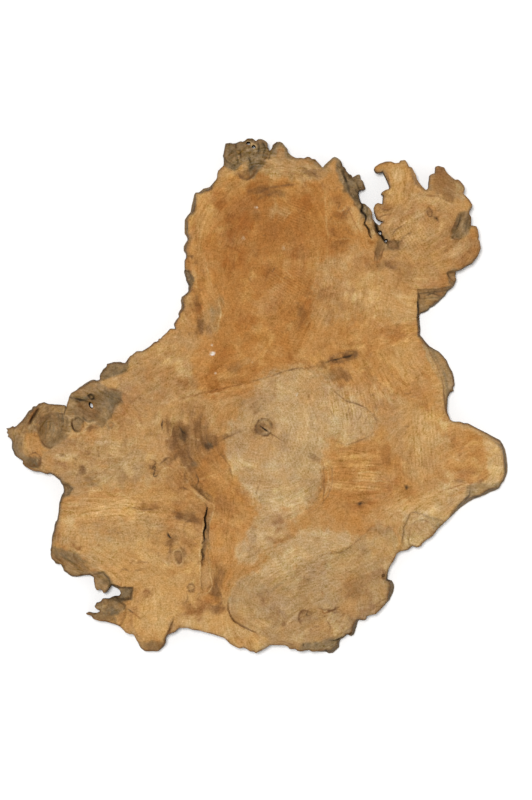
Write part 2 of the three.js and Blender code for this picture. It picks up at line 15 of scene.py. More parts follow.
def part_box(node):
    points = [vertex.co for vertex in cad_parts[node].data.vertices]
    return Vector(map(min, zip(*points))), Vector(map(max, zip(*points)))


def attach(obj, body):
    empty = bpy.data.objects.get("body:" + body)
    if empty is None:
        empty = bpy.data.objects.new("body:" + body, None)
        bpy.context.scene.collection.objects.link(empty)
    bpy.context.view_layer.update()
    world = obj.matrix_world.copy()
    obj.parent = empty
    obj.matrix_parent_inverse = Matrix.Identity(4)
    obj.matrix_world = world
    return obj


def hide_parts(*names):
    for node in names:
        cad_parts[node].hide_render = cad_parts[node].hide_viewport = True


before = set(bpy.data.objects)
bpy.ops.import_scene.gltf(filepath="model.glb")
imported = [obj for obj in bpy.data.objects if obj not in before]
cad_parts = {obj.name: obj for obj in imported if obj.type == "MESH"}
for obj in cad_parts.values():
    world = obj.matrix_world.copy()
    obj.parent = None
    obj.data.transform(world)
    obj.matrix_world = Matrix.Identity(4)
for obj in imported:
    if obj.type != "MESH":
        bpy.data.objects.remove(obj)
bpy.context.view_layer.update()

bl_info = {
    "name": "Teak wood slice",
    "version": (1, 0, 0),
    "blender": (4, 5, 0),
    "location": "View3D > Sidebar > Teak slice",
    "description": "The surface and finish of a slab of teak sawn across a root flare",
    "category": "Object",
}

NODE = "teak_slice"

# Lowest and highest pixel of the slice across and down the picture, and the picture's size
PICTURE_X = (6, 507.5)
PICTURE_Y = (138.5, 653.5)
PICTURE_SIZE = (532, 800)

LOWEST, HIGHEST = (np.array(corner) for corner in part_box(NODE))
THICKNESS = float(HIGHEST[2])
METRES_PER_PIXEL = float(HIGHEST[0] - LOWEST[0]) / (PICTURE_X[1] - PICTURE_X[0])
PICTURE_MIDDLE = np.array([sum(PICTURE_X) / 2, sum(PICTURE_Y) / 2])
MM = 0.001
MICRONS = 1e6  # in a metre
PERCENT = 0.01
TENTHS = 10  # in a pixel

# Noise: how many values its lattice draws on, a power of two, and the primes that mix a corner's numbers
NOISE_VALUES = 4096
NOISE_PRIMES = (73856093, 19349663, 83492791)
LAYER_SHARE = 0.6  # strength of a layer of rough noise, as a share of the layer before
LAYER_SEED = 17  # step from one layer's seed to the next
LAYER_SCALE = 1.4  # brings the layers' sum to about -1 to 1

CHUNK = 2_000_000  # pairs of spots and stretches measured at once
TILE_REACHES = 4  # side of a tile of spots, as a multiple of the distance looked for
TINY = 1e-9  # keeps a division from zero

# The rim and the side wall
WALL_WIDEST = 0.2  # height of the widest line, as a share of the thickness
FACE_INSET = 1.4 * MM  # the face's edge stays this far inside the widest line
BACK_INSET = 2.2 * MM
RIM_REACH = 11 * MM  # rim within this distance takes part in a spot's outward direction
LEAN_BEND = 1.5  # above 1, the wall leans most near the face
WALL_ROUGHNESS = 2.4 * MM
WALL_LUMP = 16  # size of the wall's lumps, in pixels
WALL_FLUTE = 3.2  # width of its upright flutes
FLUTE_STRETCH = (1, 1, 0.25)  # the flutes' noise is read this much slower upwards
FLUTE_SOUND = 0.5  # depth of a flute in sound wood, in millimetres
FLUTE_WEATHERED = 1.4  # what weathered wood adds to it
WALL_ROWS = 7
ROW_MARGIN = 0.05  # the wall's rows keep this share of its height from its two edges
LOWEST_EDGE = 6 * MM  # the face's edge sinks no lower than this
EDGE_ROUNDS = 4  # times the edge's height and place are fitted to each other
RIM_STEP = 1.35  # pixels between two stations of the rim
RIM_LEVEL_SLACK = 20  # microns that the model's widest line may be off its height
TOOTH_SOUND = 0.16  # size of the rim's small notches in sound wood, in pixels
TOOTH_WEATHERED = 0.5  # what weathered wood adds to it

# Spacing of the surface's points, in pixels, and how far from rim, cuts and lines each spacing holds
PLAIN_SPACING = 1.8
EDGE_SPACING = 1.1
LINE_SPACING = 0.85
EDGE_BAND = 3.6
LINE_BAND = 1.4
BACK_SPACING = 9
BACK_MARGIN = 2.4  # the back's points stay this far from its edge and the holes
FINE_HALF = 1.15  # lines up to this half width and at least this cover are drawn with the finest spacing
FINE_COVER = 0.45
LOOP_MARGIN = 0.6  # distance of a point from a loop, as a share of the spacing
BAND_GAP = 0.4  # gap between two bands of spacing, as a share of the wider one
PLAIN_GAP = 0.35
MERGE_DISTANCE = 1e-5
INSIDE_ONLY = 1  # the kind of triangulation that leaves out what lies outside the outline

# Where the side wall leans out from under the face: the place, how far along the rim, how far out, in pixels
LEANS = (
    (205, 189, 6, 3.5), (194, 205, 10, 3.5), (186, 227, 9, 3.5), (184, 247, 6, 2.5), (181, 303, 8, 2.5),
    (175, 324, 5, 1.5), (506, 462, 20, 3), (489, 490, 9, 3), (466, 503, 13, 3), (393, 589, 9, 4.5),
    (355, 628, 8, 4), (334, 650, 8, 4.5), (60, 480, 8, 1.8), (59, 505, 13, 1.5), (55, 526, 10, 1.8),
    (12, 448, 9, 1.5), (90, 381, 9, 1.5), (419, 325, 14, 2), (30, 411, 7, 2),
)

# Broken and eroded flanks, from an inner line on the face down to an outer line past the rim: the depth at
# the outer line in millimetres, the crown, which above 1 makes the slope start gently, and the two lines
FLANKS = {
    "root bulge": (34, 1.7, (417, 338, 421, 350, 427, 358.5, 435, 373.5, 440, 382.5, 442, 397, 445, 413,
        449, 420), (419, 328, 432, 343, 446, 351, 455, 366, 459, 382, 456, 397, 453, 408, 456, 420)),
    "broken wedge": (24, 0.6, (456, 277, 450, 285.5, 440, 288.5, 428, 289.5, 417, 289.5), (462, 279, 455,
        292, 445, 302, 432, 313, 417.5, 321)),
    "dark shoulder": (26, 0.7, (191, 271, 194, 278, 194.5, 284, 193, 289.5, 187, 295), (180, 270, 180, 278,
        182, 287, 184, 291, 181, 297)),
    "weathered crown": (10, 0.8, (223, 168, 236, 166, 250, 165, 262, 163, 271, 151), (218, 152, 224, 137,
        247, 132, 266, 134, 276, 144)),
    "dark ridge": (24, 0.9, (339, 163, 343, 176, 348, 187, 353, 196, 359, 205), (347, 162, 357, 169, 368,
        177, 371, 189, 366, 203)),
    "left tip": (14, 0.9, (39, 407, 31, 421, 30, 435, 21, 443, 14, 451), (28, 402, 12, 416, 0, 424, 0, 439,
        5, 451)),
    "left lump": (16, 0.9, (129, 364, 127, 373, 119, 376, 110, 377.5, 103, 381), (126, 356, 117, 357, 104,
        359, 97, 367, 94, 378)),
    "lower left slope": (22, 1.2, (53, 545, 63, 549, 72, 552, 80, 556, 84, 562, 88, 569, 95, 575), (46,
        545, 45, 557, 51, 567, 60, 573, 70, 580, 81, 580, 93, 580)),
    "bottom tip": (17, 0.8, (136, 641.5, 150, 640, 168, 640.5), (134, 656, 150, 657, 168, 656)),
}
FLANK_STEP = 0.5 * MM
FLANK_ROUGHNESS = 2.2 * MM
FLANK_LUMP = 7  # size of the lumps on a flank, in pixels

# Hollows: the depth in millimetres, the floor's size as a share of the rim, and the rim
HOLLOWS = {
    "left lobe bay": (9, 0.6, (89.5, 392.5, 107, 390, 120, 395, 122.5, 401.5, 115, 406.5, 112, 416.5, 102,
        424.5, 94.5, 419.5, 86.5, 420.5, 81.5, 411.5, 76.5, 401.5, 86, 399)),
    "left lobe plate": (6, 0.75, (72, 419, 78.5, 417, 84.5, 420.5, 85, 427, 80.5, 432, 75, 430.5, 71,
        425.5)),
    "left lobe hollow": (12, 0.55, (39.5, 418, 50, 413, 61, 411.5, 69.5, 419, 68.5, 431, 60, 442, 51,
        448.5, 43.5, 443.5, 39, 431)),
    "grey corner": (6, 0.8, (58, 484, 69, 483.5, 74, 488, 70, 494.5, 58, 497)),
    "flaky fragment": (6, 0.85, (92.5, 573, 104, 571, 110, 577, 112, 584, 104, 598, 90, 596, 88, 580)),
    "sunken notch": (14, 0.8, (110, 583, 120, 586, 134, 587, 132, 599, 121, 600, 112, 596)),
    "shards": (10, 0.85, (82, 612, 92, 599, 104, 594.5, 119, 599.5, 126, 603, 127, 613, 123, 624, 118, 631,
        100, 627, 86, 620)),
    "crown hollow": (2, 0.5, (237, 173, 246, 170, 257, 168, 255, 176, 248, 180, 240, 178.5)),
    "grey pocket": (7, 0.6, (387, 242, 393, 239, 399, 243, 399, 249, 392, 251, 387, 248)),
    "upper right pocket": (5, 0.6, (458, 214.5, 465, 213, 471.5, 216, 471, 226, 467, 234, 459, 239.5,
        451.5, 239, 451, 232, 454, 224)),
    "dark pocket": (10, 0.7, (446, 273, 454, 270, 461, 276, 457, 284, 449, 284)),
    "knot facet": (4.5, 0.93, (399, 547, 401.5, 537.5, 403.5, 525, 409.5, 512, 416, 511, 429, 516.5, 442,
        519.5, 449, 528, 438, 544, 424, 556, 408, 558, 398, 555)),
    "crack strip": (3, 0.9, (208.5, 507, 214, 508, 210, 521.5, 208.8, 538.5, 208.8, 558, 211, 572, 212,
        586, 207, 592, 202, 590, 201, 575, 203, 557, 203, 540, 205.5, 520)),
    "eroded patch": (2.5, 0.8, (300, 629, 312, 618, 326, 614, 340, 620, 346, 631, 338, 641, 322, 645, 306,
        640)),
}
HOLLOW_ROUGHNESS = 0.22  # unevenness of a hollow's floor, as a share of its depth
HOLLOW_LUMP = 8
HOLLOW_ROUNDING = 1.3  # above 1, a hollow's wall turns gently into its floor
BROAD_WOBBLE = 0.7  # how far the lines of flanks and hollows wobble, in pixels

# Cracks and slits with a V section: the widest width in pixels, the depth in millimetres and the path
CRACKS = {
    "long crack": (1.9, 16, (208, 506, 206.3, 513, 205, 519, 205.8, 526, 204.2, 532, 204.6, 538, 202.4,
        543)),
    "long crack, lower half": (1.8, 5, (203.4, 545, 201.5, 551, 203, 556, 201.8, 561, 202.4, 567)),
    "long crack step": (2.2, 2, (190, 484, 200, 491.5, 211, 502)),
    "pith check": (1.8, 5, (260, 426, 264, 428.7, 269, 432.2)),
    "lens knot": (4.5, 2, (326, 362.2, 335, 359.5, 344.5, 357, 352, 355.5, 360, 353.2)),
    "lobe crevice": (4, 16, (374, 220, 377, 231, 381, 236, 384, 241, 388, 245)),
    "lobe slit": (2, 9, (365, 219, 364.5, 224, 368.5, 230, 368.5, 234, 371.5, 240)),
    "lobe check": (2, 9, (358, 200, 362, 206, 361, 211, 365.5, 216, 365, 221)),
    "grey crevice": (7, 4, (383, 240, 379.5, 249, 376.5, 260)),
    "tip trench": (6, 9, (40, 408, 34, 417, 28, 426)),
    "bottom wedge": (3, 3, (162, 645, 167.5, 634, 174.5, 618)),
    "lower gap": (2, 8, (352, 631, 342, 637, 331, 640.5)),
    "lower lobe edge": (2.4, 4, (227, 598, 229, 610.5, 233.5, 619, 240.5, 624.5, 250, 629, 259, 633.5)),
    "lower lobe check": (1.8, 2, (300, 564, 315, 557, 330, 552.5, 346, 548.5, 356, 540.5, 364, 533.5)),
}
CRACK_END = 0.08  # a crack's opening at its ends, as a share of its middle's
CRACK_WOBBLE = 0.45
WOBBLE_SIZE = 3.4

# The face's fine unevenness: the depth in millimetres, the size in pixels and the seed of the crust's crumbs
# and cracks and of the broad and the fine waves of the sawn wood
CRUMBS = (0.9, 9, 590)
CRUST_CRACKS = (0.5, 2.6, 591)
BROAD_WAVES = (0.12, 40, 592)
FINE_WAVES = (0.06, 5, 593)

# Round holes right through and round pits: the middle, the two half widths in pixels, the turn in degrees
# and a pit's depth in millimetres
HOLES = {
    "bay hole": (91.2, 405.3, 1.6, 3, 25),
    "crown hole a": (248.4, 143.8, 1.9, 1.4, 0),
    "crown hole b": (253.8, 147.4, 1.8, 1.5, 0),
    "crevice hole a": (380, 233, 1.6, 1.9, 30),
    "crevice hole b": (385.7, 241, 1.7, 1.4, 30),
}
HOLE_SIZES = (0.8, 1.2)  # a hole's size at the back and at the face
HOLE_SIDES = 14
HOLE_ROWS = 5
PITS = {
    "pith": (262.5, 427.5, 5.5, 5, 20, 2.5),
    "left lobe pit": (111.5, 425, 4.6, 4.4, 0, 2),
    "upper right knot a": (428.5, 213, 2.6, 2.2, 0, 2),
    "upper right knot b": (436, 219, 2.2, 2, 0, 4),
    "left knot": (178.2, 556.8, 1.8, 3.6, 12, 1.2),
    "lower pit": (383, 575, 1.7, 1.7, 0, 6),
}
PIT_FLOOR = 0.45  # a pit's floor, as a share of its rim

# The stage's light makes a surface this much brighter than its own colour, so that the floor is plain white
LIGHT_LEVEL = 1.27

# Tones of the wood, as they look in the picture's light (sRGB)
TONES = {
    "heart": (0.705, 0.48, 0.24),
    "deep heart": (0.60, 0.375, 0.17),
    "honey": (0.745, 0.53, 0.29),
    "gold": (0.79, 0.61, 0.375),
    "straw": (0.84, 0.70, 0.49),
    "tan": (0.735, 0.565, 0.36),
    "pale": (0.765, 0.625, 0.44),
    "lobe": (0.705, 0.565, 0.385),
    "russet": (0.55, 0.35, 0.17),
    "umber": (0.44, 0.30, 0.17),
    "ash": (0.55, 0.47, 0.355),
    "slate": (0.42, 0.36, 0.265),
    "bark": (0.52, 0.39, 0.25),
    # near black: dark stains, and painted shade in cracks, slits, splits and along steps
    "char": (0.13, 0.10, 0.065),
}

# Broad zones of the face, in the order they are laid: the tone, the cover, the border's softness in pixels
# and the outline's points across and down
ZONES = (
    ("left shoulder", "tan", 0.9, 14, (100, 378, 130, 352, 180, 330, 212, 345, 214, 392, 200, 412, 180, 405,
     140, 412, 118, 400)),
    ("left middle", "tan", 0.6, 14, (112, 400, 180, 396, 215, 400, 225, 440, 200, 480, 150, 490, 110, 480,
     96, 440)),
    ("upper lobe rim", "honey", 0.95, 10, (186, 225, 205, 190, 236, 172, 262, 166, 330, 165, 352, 190, 366,
     225, 378, 262, 370, 290, 330, 300, 300, 360, 250, 395, 205, 400, 196, 370, 200, 330, 190, 300, 190,
     260)),
    ("heart", "heart", 0.95, 6, (207, 235, 222, 205, 245, 187, 262, 182, 285, 180, 305, 184, 322, 182, 337,
     192, 348, 210, 354, 232, 346, 250, 330, 258, 322, 275, 322, 296, 316, 318, 306, 340, 294, 354, 270,
     368, 240, 384, 216, 394, 206, 376, 211, 352, 217, 330, 216, 300, 211, 275, 206, 254)),
    ("upper heart", "deep heart", 0.25, 16, (216, 222, 240, 200, 262, 198, 300, 200, 308, 220, 300, 246,
     270, 252, 240, 262, 222, 258)),
    ("lower heart", "honey", 0.35, 14, (222, 300, 262, 292, 300, 296, 300, 340, 270, 362, 226, 376, 220,
     340)),
    ("top strip", "lobe", 0.6, 6, (262, 152, 286, 150, 312, 160, 330, 166, 322, 178, 300, 181, 270, 179,
     258, 172)),
    ("upper right field", "tan", 0.75, 12, (318, 262, 352, 246, 376, 258, 372, 300, 352, 322, 326, 330, 312,
     320)),
    ("spur", "gold", 0.75, 8, (374, 163, 402, 160, 420, 186, 424, 204, 400, 214, 380, 206)),
    ("upper right lobe", "tan", 0.65, 8, (380, 208, 424, 196, 466, 198, 478, 250, 456, 270, 416, 290, 390,
     262)),
    ("upper right top", "bark", 0.5, 10, (428, 176, 436, 166, 452, 178, 464, 190, 456, 200, 440, 200, 428,
     194)),
    ("right shoulder", "gold", 0.4, 14, (352, 262, 392, 262, 418, 292, 418, 330, 396, 322, 372, 318, 352,
     300)),
    ("orange sweep", "honey", 0.85, 12, (300, 335, 340, 318, 372, 316, 420, 330, 440, 384, 444, 420, 400,
     396, 372, 388, 334, 372, 306, 362)),
    ("pale centre", "pale", 0.92, 10, (252, 386, 272, 374, 296, 368, 318, 370, 334, 384, 346, 400, 360, 404,
     374, 414, 376, 430, 360, 440, 344, 444, 328, 438, 322, 456, 323, 480, 318, 500, 300, 512, 286, 530,
     272, 548, 254, 562, 242, 560, 240, 544, 256, 522, 254, 504, 243, 488, 234, 466, 222, 448, 226, 432,
     240, 414, 246, 400)),
    ("orange left", "honey", 0.9, 5, (214, 444, 222, 450, 234, 466, 242, 490, 256, 506, 256, 521, 240, 540,
     236, 560, 230, 590, 216, 606, 206, 596, 213, 570, 211, 524, 215, 506, 204, 488, 196, 470)),
    ("orange band", "honey", 0.8, 9, (324, 440, 344, 447, 368, 440, 382, 428, 392, 440, 402, 456, 412, 478,
     424, 496, 404, 506, 384, 516, 362, 528, 342, 524, 324, 506, 322, 470)),
    ("right field", "tan", 0.7, 10, (380, 392, 404, 398, 428, 420, 440, 444, 440, 470, 410, 470, 388, 440)),
    ("tip pale", "straw", 0.62, 6, (442, 418, 474, 426, 500, 440, 509, 470, 500, 488, 474, 498, 440, 528,
     404, 546, 398, 512, 430, 490, 446, 484)),
    ("tip orange", "honey", 0.9, 6, (447, 428, 462, 426, 482, 434, 490, 454, 486, 474, 468, 484, 452, 484,
     444, 460)),
    ("lower left gold", "gold", 0.55, 14, (56, 500, 120, 488, 180, 492, 200, 520, 200, 600, 176, 640, 140,
     650, 128, 606, 110, 572, 54, 548)),
    ("left lobe pale", "lobe", 0.6, 9, (44, 446, 70, 436, 120, 440, 150, 452, 150, 480, 100, 486, 60, 482,
     36, 468)),
    ("bottom strip", "gold", 0.75, 6, (176, 618, 226, 600, 236, 622, 264, 640, 256, 655, 226, 645, 176,
     632)),
    ("pale patch", "pale", 0.92, 6, (247, 574, 256.5, 573, 264, 560, 272, 549, 284, 538, 300, 530, 330, 528,
     352, 532, 362, 535, 345, 546, 329, 552, 306, 561, 289, 570, 268, 582)),
    ("lower lobe", "lobe", 0.92, 3.5, (227.7, 601, 236, 583, 247, 574, 262, 576, 276, 576, 289, 570, 306,
     561, 329, 551.5, 346, 546, 362, 535, 376, 523.5, 390.5, 527.7, 399, 540, 392, 566, 396, 590, 380, 612,
     358, 636, 330, 656, 262, 650, 259, 633.5, 250, 629, 240.5, 624.5, 233.5, 619, 229, 610.5)),
    ("knot facet", "lobe", 0.7, 3, (403, 514, 416, 511, 444, 520, 446, 528, 430, 545, 412, 550, 400, 550,
     402, 530)),
    ("root bulge", "lobe", 0.95, 3, (421, 338, 434, 346, 448, 354, 458, 374, 456, 396, 447, 414, 443, 398,
     441, 384, 434, 372, 426, 357)),
)

# Soft blots by tone: the middle across and down, the two half sizes, the turn in degrees anticlockwise,
# and the cover in percent
BLOTS = {
    "deep heart": (
        (272, 268, 7, 8, 0, 60), (274, 232, 13, 8, 0, 50), (238, 212, 13, 8, 20, 25),
        (306, 205, 9, 18, 10, 35), (202, 446, 12, 10, 0, 20), (196, 478, 14, 10, 0, 20),
    ),
    "honey": (
        (334, 187, 10, 8, -30, 40), (160, 352, 14, 6, 20, 35), (186, 352, 10, 8, 0, 35),
        (226, 500, 8, 22, 0, 30), (118, 604, 7, 4, 0, 50), (34, 440, 11, 6, 20, 60),
        (48, 458, 8, 11, 0, 50), (90, 410, 7, 8, 0, 60), (106, 465, 4, 2, 0, 60), (179, 460, 4, 5, 0, 70),
        (198, 472, 8, 4, 0, 60), (35, 444, 9, 6, 20, 60), (379, 167, 5, 4, 0, 60),
        (466, 205, 4, 8, 10, 60), (474, 233, 4, 7, 0, 60), (382, 552, 12, 12, 0, 35),
        (372, 534, 9, 6, 0, 40), (352, 236, 6, 6, 0, 40), (388, 165, 10, 6, 0, 40),
        (288, 522, 6, 14, 40, 60), (350, 375, 16, 10, 0, 50), (315, 392, 24, 14, 0, 32),
        (259, 450, 16, 12, 0, 30), (348, 575, 16, 18, 0, 28), (258, 628, 14, 10, 0, 32),
        (350, 598, 14, 16, 0, 32), (318, 632, 16, 10, 0, 30), (350, 596, 14, 18, 0, 25),
        (264, 436, 20, 12, 0, 20), (250, 352, 18, 10, 0, 25), (203, 352, 14, 10, 0, 30),
    ),
    "gold": (
        (255, 330, 8, 5, 30, 25), (236, 185, 14, 5, 20, 35), (203, 226, 6, 20, -5, 30),
        (329, 212, 3, 8, -10, 45), (208, 290, 3, 12, 0, 30), (160, 588, 22, 16, 0, 40),
        (136, 562, 26, 14, -20, 50), (160, 606, 14, 14, 0, 50), (110, 572, 14, 5, -25, 50),
        (150, 626, 10, 8, 0, 40), (178, 570, 12, 8, 0, 30), (112, 383, 7, 6, 0, 70),
        (398, 366, 14, 5, -30, 40), (420, 500, 18, 5, 20, 60), (262, 640, 10, 5, -20, 50),
        (410, 420, 22, 24, 0, 60), (424, 450, 18, 40, 0, 50), (425, 385, 14, 20, 20, 40),
        (396, 356, 20, 12, -20, 30), (244, 612, 14, 10, 0, 40), (206, 618, 24, 7, 0, 50),
        (60, 575, 12, 4, -25, 40), (420, 436, 14, 16, 0, 40), (160, 630, 16, 9, 0, 50),
        (116, 592, 4, 3, 0, 40), (448, 262, 14, 8, 20, 40), (408, 236, 12, 10, 0, 40),
        (409, 361, 18, 16, 0, 45), (439, 361, 14, 14, 0, 30), (139, 601, 14, 12, 0, 40),
        (424, 450, 24, 12, 0, 30), (148, 622, 20, 18, 0, 45), (109, 590, 9, 8, 0, 40),
        (78, 572, 12, 6, 25, 30), (152, 588, 22, 12, 0, 30), (405, 262, 16, 12, 0, 25),
        (412, 372, 18, 10, 0, 25), (438, 262, 12, 8, 0, 25),
    ),
    "lobe": (
        (277, 213, 8, 7, 0, 35), (150, 385, 16, 8, 10, 35), (232, 442, 10, 6, 25, 50),
        (128, 530, 34, 13, 0, 45), (206, 575, 5, 14, 0, 45), (112, 541, 20, 12, 0, 35),
        (104, 450, 7, 6, 0, 50), (116, 470, 9, 6, 0, 40), (244, 440, 12, 10, 0, 30),
        (268, 402, 14, 8, 0, 25), (392, 232, 6, 10, 10, 40), (430, 240, 14, 8, 0, 35),
        (412, 222, 10, 6, 0, 30), (304, 463, 14, 18, 0, 50), (78, 425, 5, 6, 0, 90),
        (281, 153, 5, 6, 0, 75), (213, 318, 9, 16, 0, 40), (320, 590, 30, 20, 0, 35),
        (448, 376, 8, 24, -20, 45), (79, 481, 16, 13, 0, 50), (50, 535, 8, 14, 0, 60),
        (30, 447, 12, 10, 0, 35), (106, 602, 12, 9, 0, 40), (68, 488, 10, 8, 0, 40),
    ),
    "tan": (
        (244, 361, 10, 3, 35, 50), (289, 247, 6, 4, 0, 35), (322, 270, 14, 12, 0, 35),
        (293, 168, 8, 5, 0, 40), (100, 520, 20, 5, 5, 40), (230, 404, 22, 8, 12, 50),
        (303, 388, 14, 12, 0, 55), (290, 372, 16, 6, 10, 40), (243, 172, 5, 7, 0, 70),
    ),
    "pale": (
        (67, 535, 6, 10, 10, 60), (135, 466, 12, 9, 0, 50), (78, 492, 10, 4, 0, 40),
        (100, 470, 14, 6, 0, 40), (96, 560, 14, 8, 0, 50), (84, 536, 20, 10, 0, 35),
        (66, 456, 8, 4, 0, 60), (424, 528, 12, 9, 0, 40), (379, 512, 15, 14, 0, 30),
        (379, 482, 14, 12, 0, 25), (400, 538, 10, 10, 0, 35),
    ),
    "straw": (
        (195, 614, 2, 2, 0, 50), (78, 503, 14, 3, 12, 50), (70, 522, 9, 4, 40, 55), (62, 458, 5, 3, 0, 80),
        (70, 459, 5, 2.5, 0, 60), (130, 492, 16, 3, 8, 40), (66, 456, 10, 4, 0, 60),
        (290, 420, 20, 14, 0, 30), (266, 530, 8, 18, 15, 30), (404, 300, 10, 12, 0, 35),
        (390, 522, 16, 5, 10, 40), (420, 200, 16, 4, -12, 45), (460, 250, 16, 5, 28, 50),
        (396, 175, 6, 10, 10, 35), (424, 436, 12, 16, 0, 40), (400, 508, 18, 8, 10, 35),
        (196, 622, 22, 6, 0, 40), (160, 625, 14, 10, 0, 35), (195, 274, 3, 9, 0, 50),
        (358, 224, 7, 14, 10, 40), (396, 312, 14, 12, 0, 40), (496, 478, 9, 7, 30, 60),
        (48, 405, 9, 3, 10, 50), (232, 628, 14, 8, 20, 35), (64, 457, 7, 3, -10, 55),
        (371, 230, 2.5, 9, 18, 60),
    ),
    "russet": (
        (190, 310, 6, 5, 0, 35), (171, 444, 6, 5, 0, 35), (151, 509, 8, 4, 0, 45), (186, 545, 9, 9, 0, 40),
        (188, 610, 10, 7, 0, 55), (218, 607, 9, 8, 0, 55), (203, 602, 8, 6, 0, 40),
        (147, 593, 4, 4, 0, 40), (219, 580, 8, 20, 0, 40), (192, 611, 10, 8, 0, 50),
        (80, 548, 3, 2.4, 0, 70), (75, 545, 2.4, 2, 0, 70), (58, 534, 3, 8, 0, 50),
        (136, 610, 5, 5, 0, 35), (98, 405, 5, 8, 0, 50), (98, 412, 5, 4, 0, 50), (15, 436, 5, 4, 0, 30),
        (404, 336, 10, 4, -20, 30), (358, 503, 14, 6, 8, 60), (385, 450, 6, 20, 8, 25),
        (466, 470, 10, 5, 0, 40), (282, 526, 5, 16, 40, 35), (386, 206, 8, 4, -10, 70),
        (440, 184, 9, 9, 0, 25), (336, 200, 5, 5, 20, 50), (342, 216, 5, 5, -20, 45),
        (336, 232, 8, 5, -15, 50), (340, 246, 8, 5, 10, 45), (277, 540, 9, 3, -15, 50),
        (203, 455, 22, 20, 0, 30), (178, 446, 8, 8, 0, 30), (188, 428, 10, 8, 0, 35),
        (90, 409, 6, 8, 0, 50), (200, 508, 15, 16, 0, 40), (196, 480, 20, 12, 0, 25),
        (166, 482, 14, 10, 0, 20), (224, 510, 10, 16, 0, 30), (199, 470, 22, 12, 0, 18),
        (224, 508, 12, 14, 0, 25), (150, 505, 12, 5, 0, 25),
    ),
    "bark": (
        # the blot at (171, 626) is painted shade in the bottom wedge's gap
        (152, 645, 10, 5, 0, 50), (171, 626, 4, 7, -25, 80), (461, 226, 6, 10, 0, 50),
        (250, 173, 7, 5, 0, 60), (35, 462, 7, 6, 0, 60), (17, 452, 9, 12, 30, 65),
    ),
    "ash": (
        (216, 312, 6, 18, -3, 40), (108, 404, 11, 10, 0, 70), (441, 531, 5, 9, 30, 70),
        (45, 541, 6, 12, 0, 35), (42, 552, 6, 8, 0, 45), (100, 612, 12, 6, 0, 30),
    ),
    "umber": (
        (268, 192, 18, 4, -4, 50), (258, 216, 5, 6, 0, 30), (302, 318, 5, 12, -10, 30),
        (232, 366, 7, 8, -30, 35), (310, 172, 9, 4, -25, 50), (197, 262, 3, 4, 0, 50),
        (204, 272, 3, 4, 0, 35), (198, 302, 4, 7, 0, 55), (200, 326, 5, 6, 0, 50), (209, 330, 3, 4, 0, 35),
        (140, 372, 8, 4, 30, 25), (176, 446, 6, 12, 0, 50), (183, 452, 7, 6, 0, 50),
        (196, 424, 9, 6, -20, 40), (203, 488, 6, 7, 20, 35), (156, 470, 7, 5, 0, 40),
        (168, 460, 8, 4, 30, 35), (187, 517, 12, 5, -8, 65), (170, 541, 8, 7, -10, 50),
        (178, 557, 6, 9, 12, 50), (191, 588, 4, 5, 0, 50), (217, 590, 5, 12, 8, 40),
        (220, 582, 7, 15, 0, 45), (170, 548, 4, 12, -8, 50), (219, 604, 8, 8, 0, 40),
        (83, 468, 4, 3, 0, 60), (92, 479, 8, 7, 0, 35), (63, 455, 3, 2, 0, 45), (262, 428, 4, 4, 0, 30),
        (315, 458, 6, 4, -30, 50), (345, 357, 12, 4, 14, 75), (337, 375, 12, 6, 0, 35),
        (346, 377, 5, 4, 0, 40), (381, 268, 6, 4, 0, 45), (360, 503, 4, 3, 0, 60),
        (457, 482, 5, 2.6, -10, 55), (480, 479, 2.4, 1.8, 0, 50), (392, 266, 9, 4, 0, 45),
        (456, 228, 4, 9, 10, 50), (405, 250, 12, 6, 0, 30), (436, 219, 3, 2.6, 0, 60),
        (356, 584, 13, 11, 0, 28), (352, 618, 8, 6, 0, 25), (290, 646, 14, 3, 0, 35),
        (284, 624, 2.4, 2.2, 0, 55), (304, 614, 6, 6, 0, 30), (374, 222, 4, 9, -15, 70),
        (247, 175, 9, 4, 0, 55), (231, 150, 3, 3, 0, 70), (192, 440, 18, 20, 0, 60),
        (184, 438, 10, 10, 20, 60), (207, 444, 11, 7, -30, 60), (190, 460, 8, 8, 10, 55),
        (168, 425, 3, 11, 5, 60), (187, 516, 8, 5, -8, 50), (328, 363, 12, 4, 14, 50),
        (347, 356, 9, 2.6, 14, 60), (428, 213, 3, 3, 0, 35), (193, 258, 2.5, 3, 0, 60),
        (198, 325, 2, 1.6, 0, 80), (254, 410, 14, 8, 0, 25), (264, 428, 8, 8, 0, 60),
        (83, 470, 3, 5, 0, 55), (35, 462, 5, 5, 0, 55),
    ),
    "slate": (
        # the narrow blot at (203, 550) is painted shade in the long crack's lower half
        (113, 610, 8, 4, -12, 80), (203, 550, 2.4, 9, -4, 60), (82, 400, 7, 3, 15, 80),
        (35, 462, 7, 5, 0, 45), (322, 646, 18, 5, 0, 40), (68, 556, 16, 8, -20, 50),
        (364, 212, 4, 8, -20, 80), (195, 462, 6, 4, 0, 40), (16, 452, 4, 7, 20, 40),
        (122, 593, 10, 6, 0, 70),
    ),
    # near-black blots: painted shade along the dark ridge's step and in the lens knot, and dark spots and
    # stains
    "char": (
        (407, 487, 2.6, 2, 0, 60), (347, 184, 4, 12, -20, 55), (357, 200, 4, 8, -30, 60),
        (183, 436, 4, 5, 0, 35), (209, 446, 5, 3, -30, 35), (360, 503, 1.6, 1.4, 0, 90),
        (346, 357, 5, 1.3, 14, 50),
    ),
}

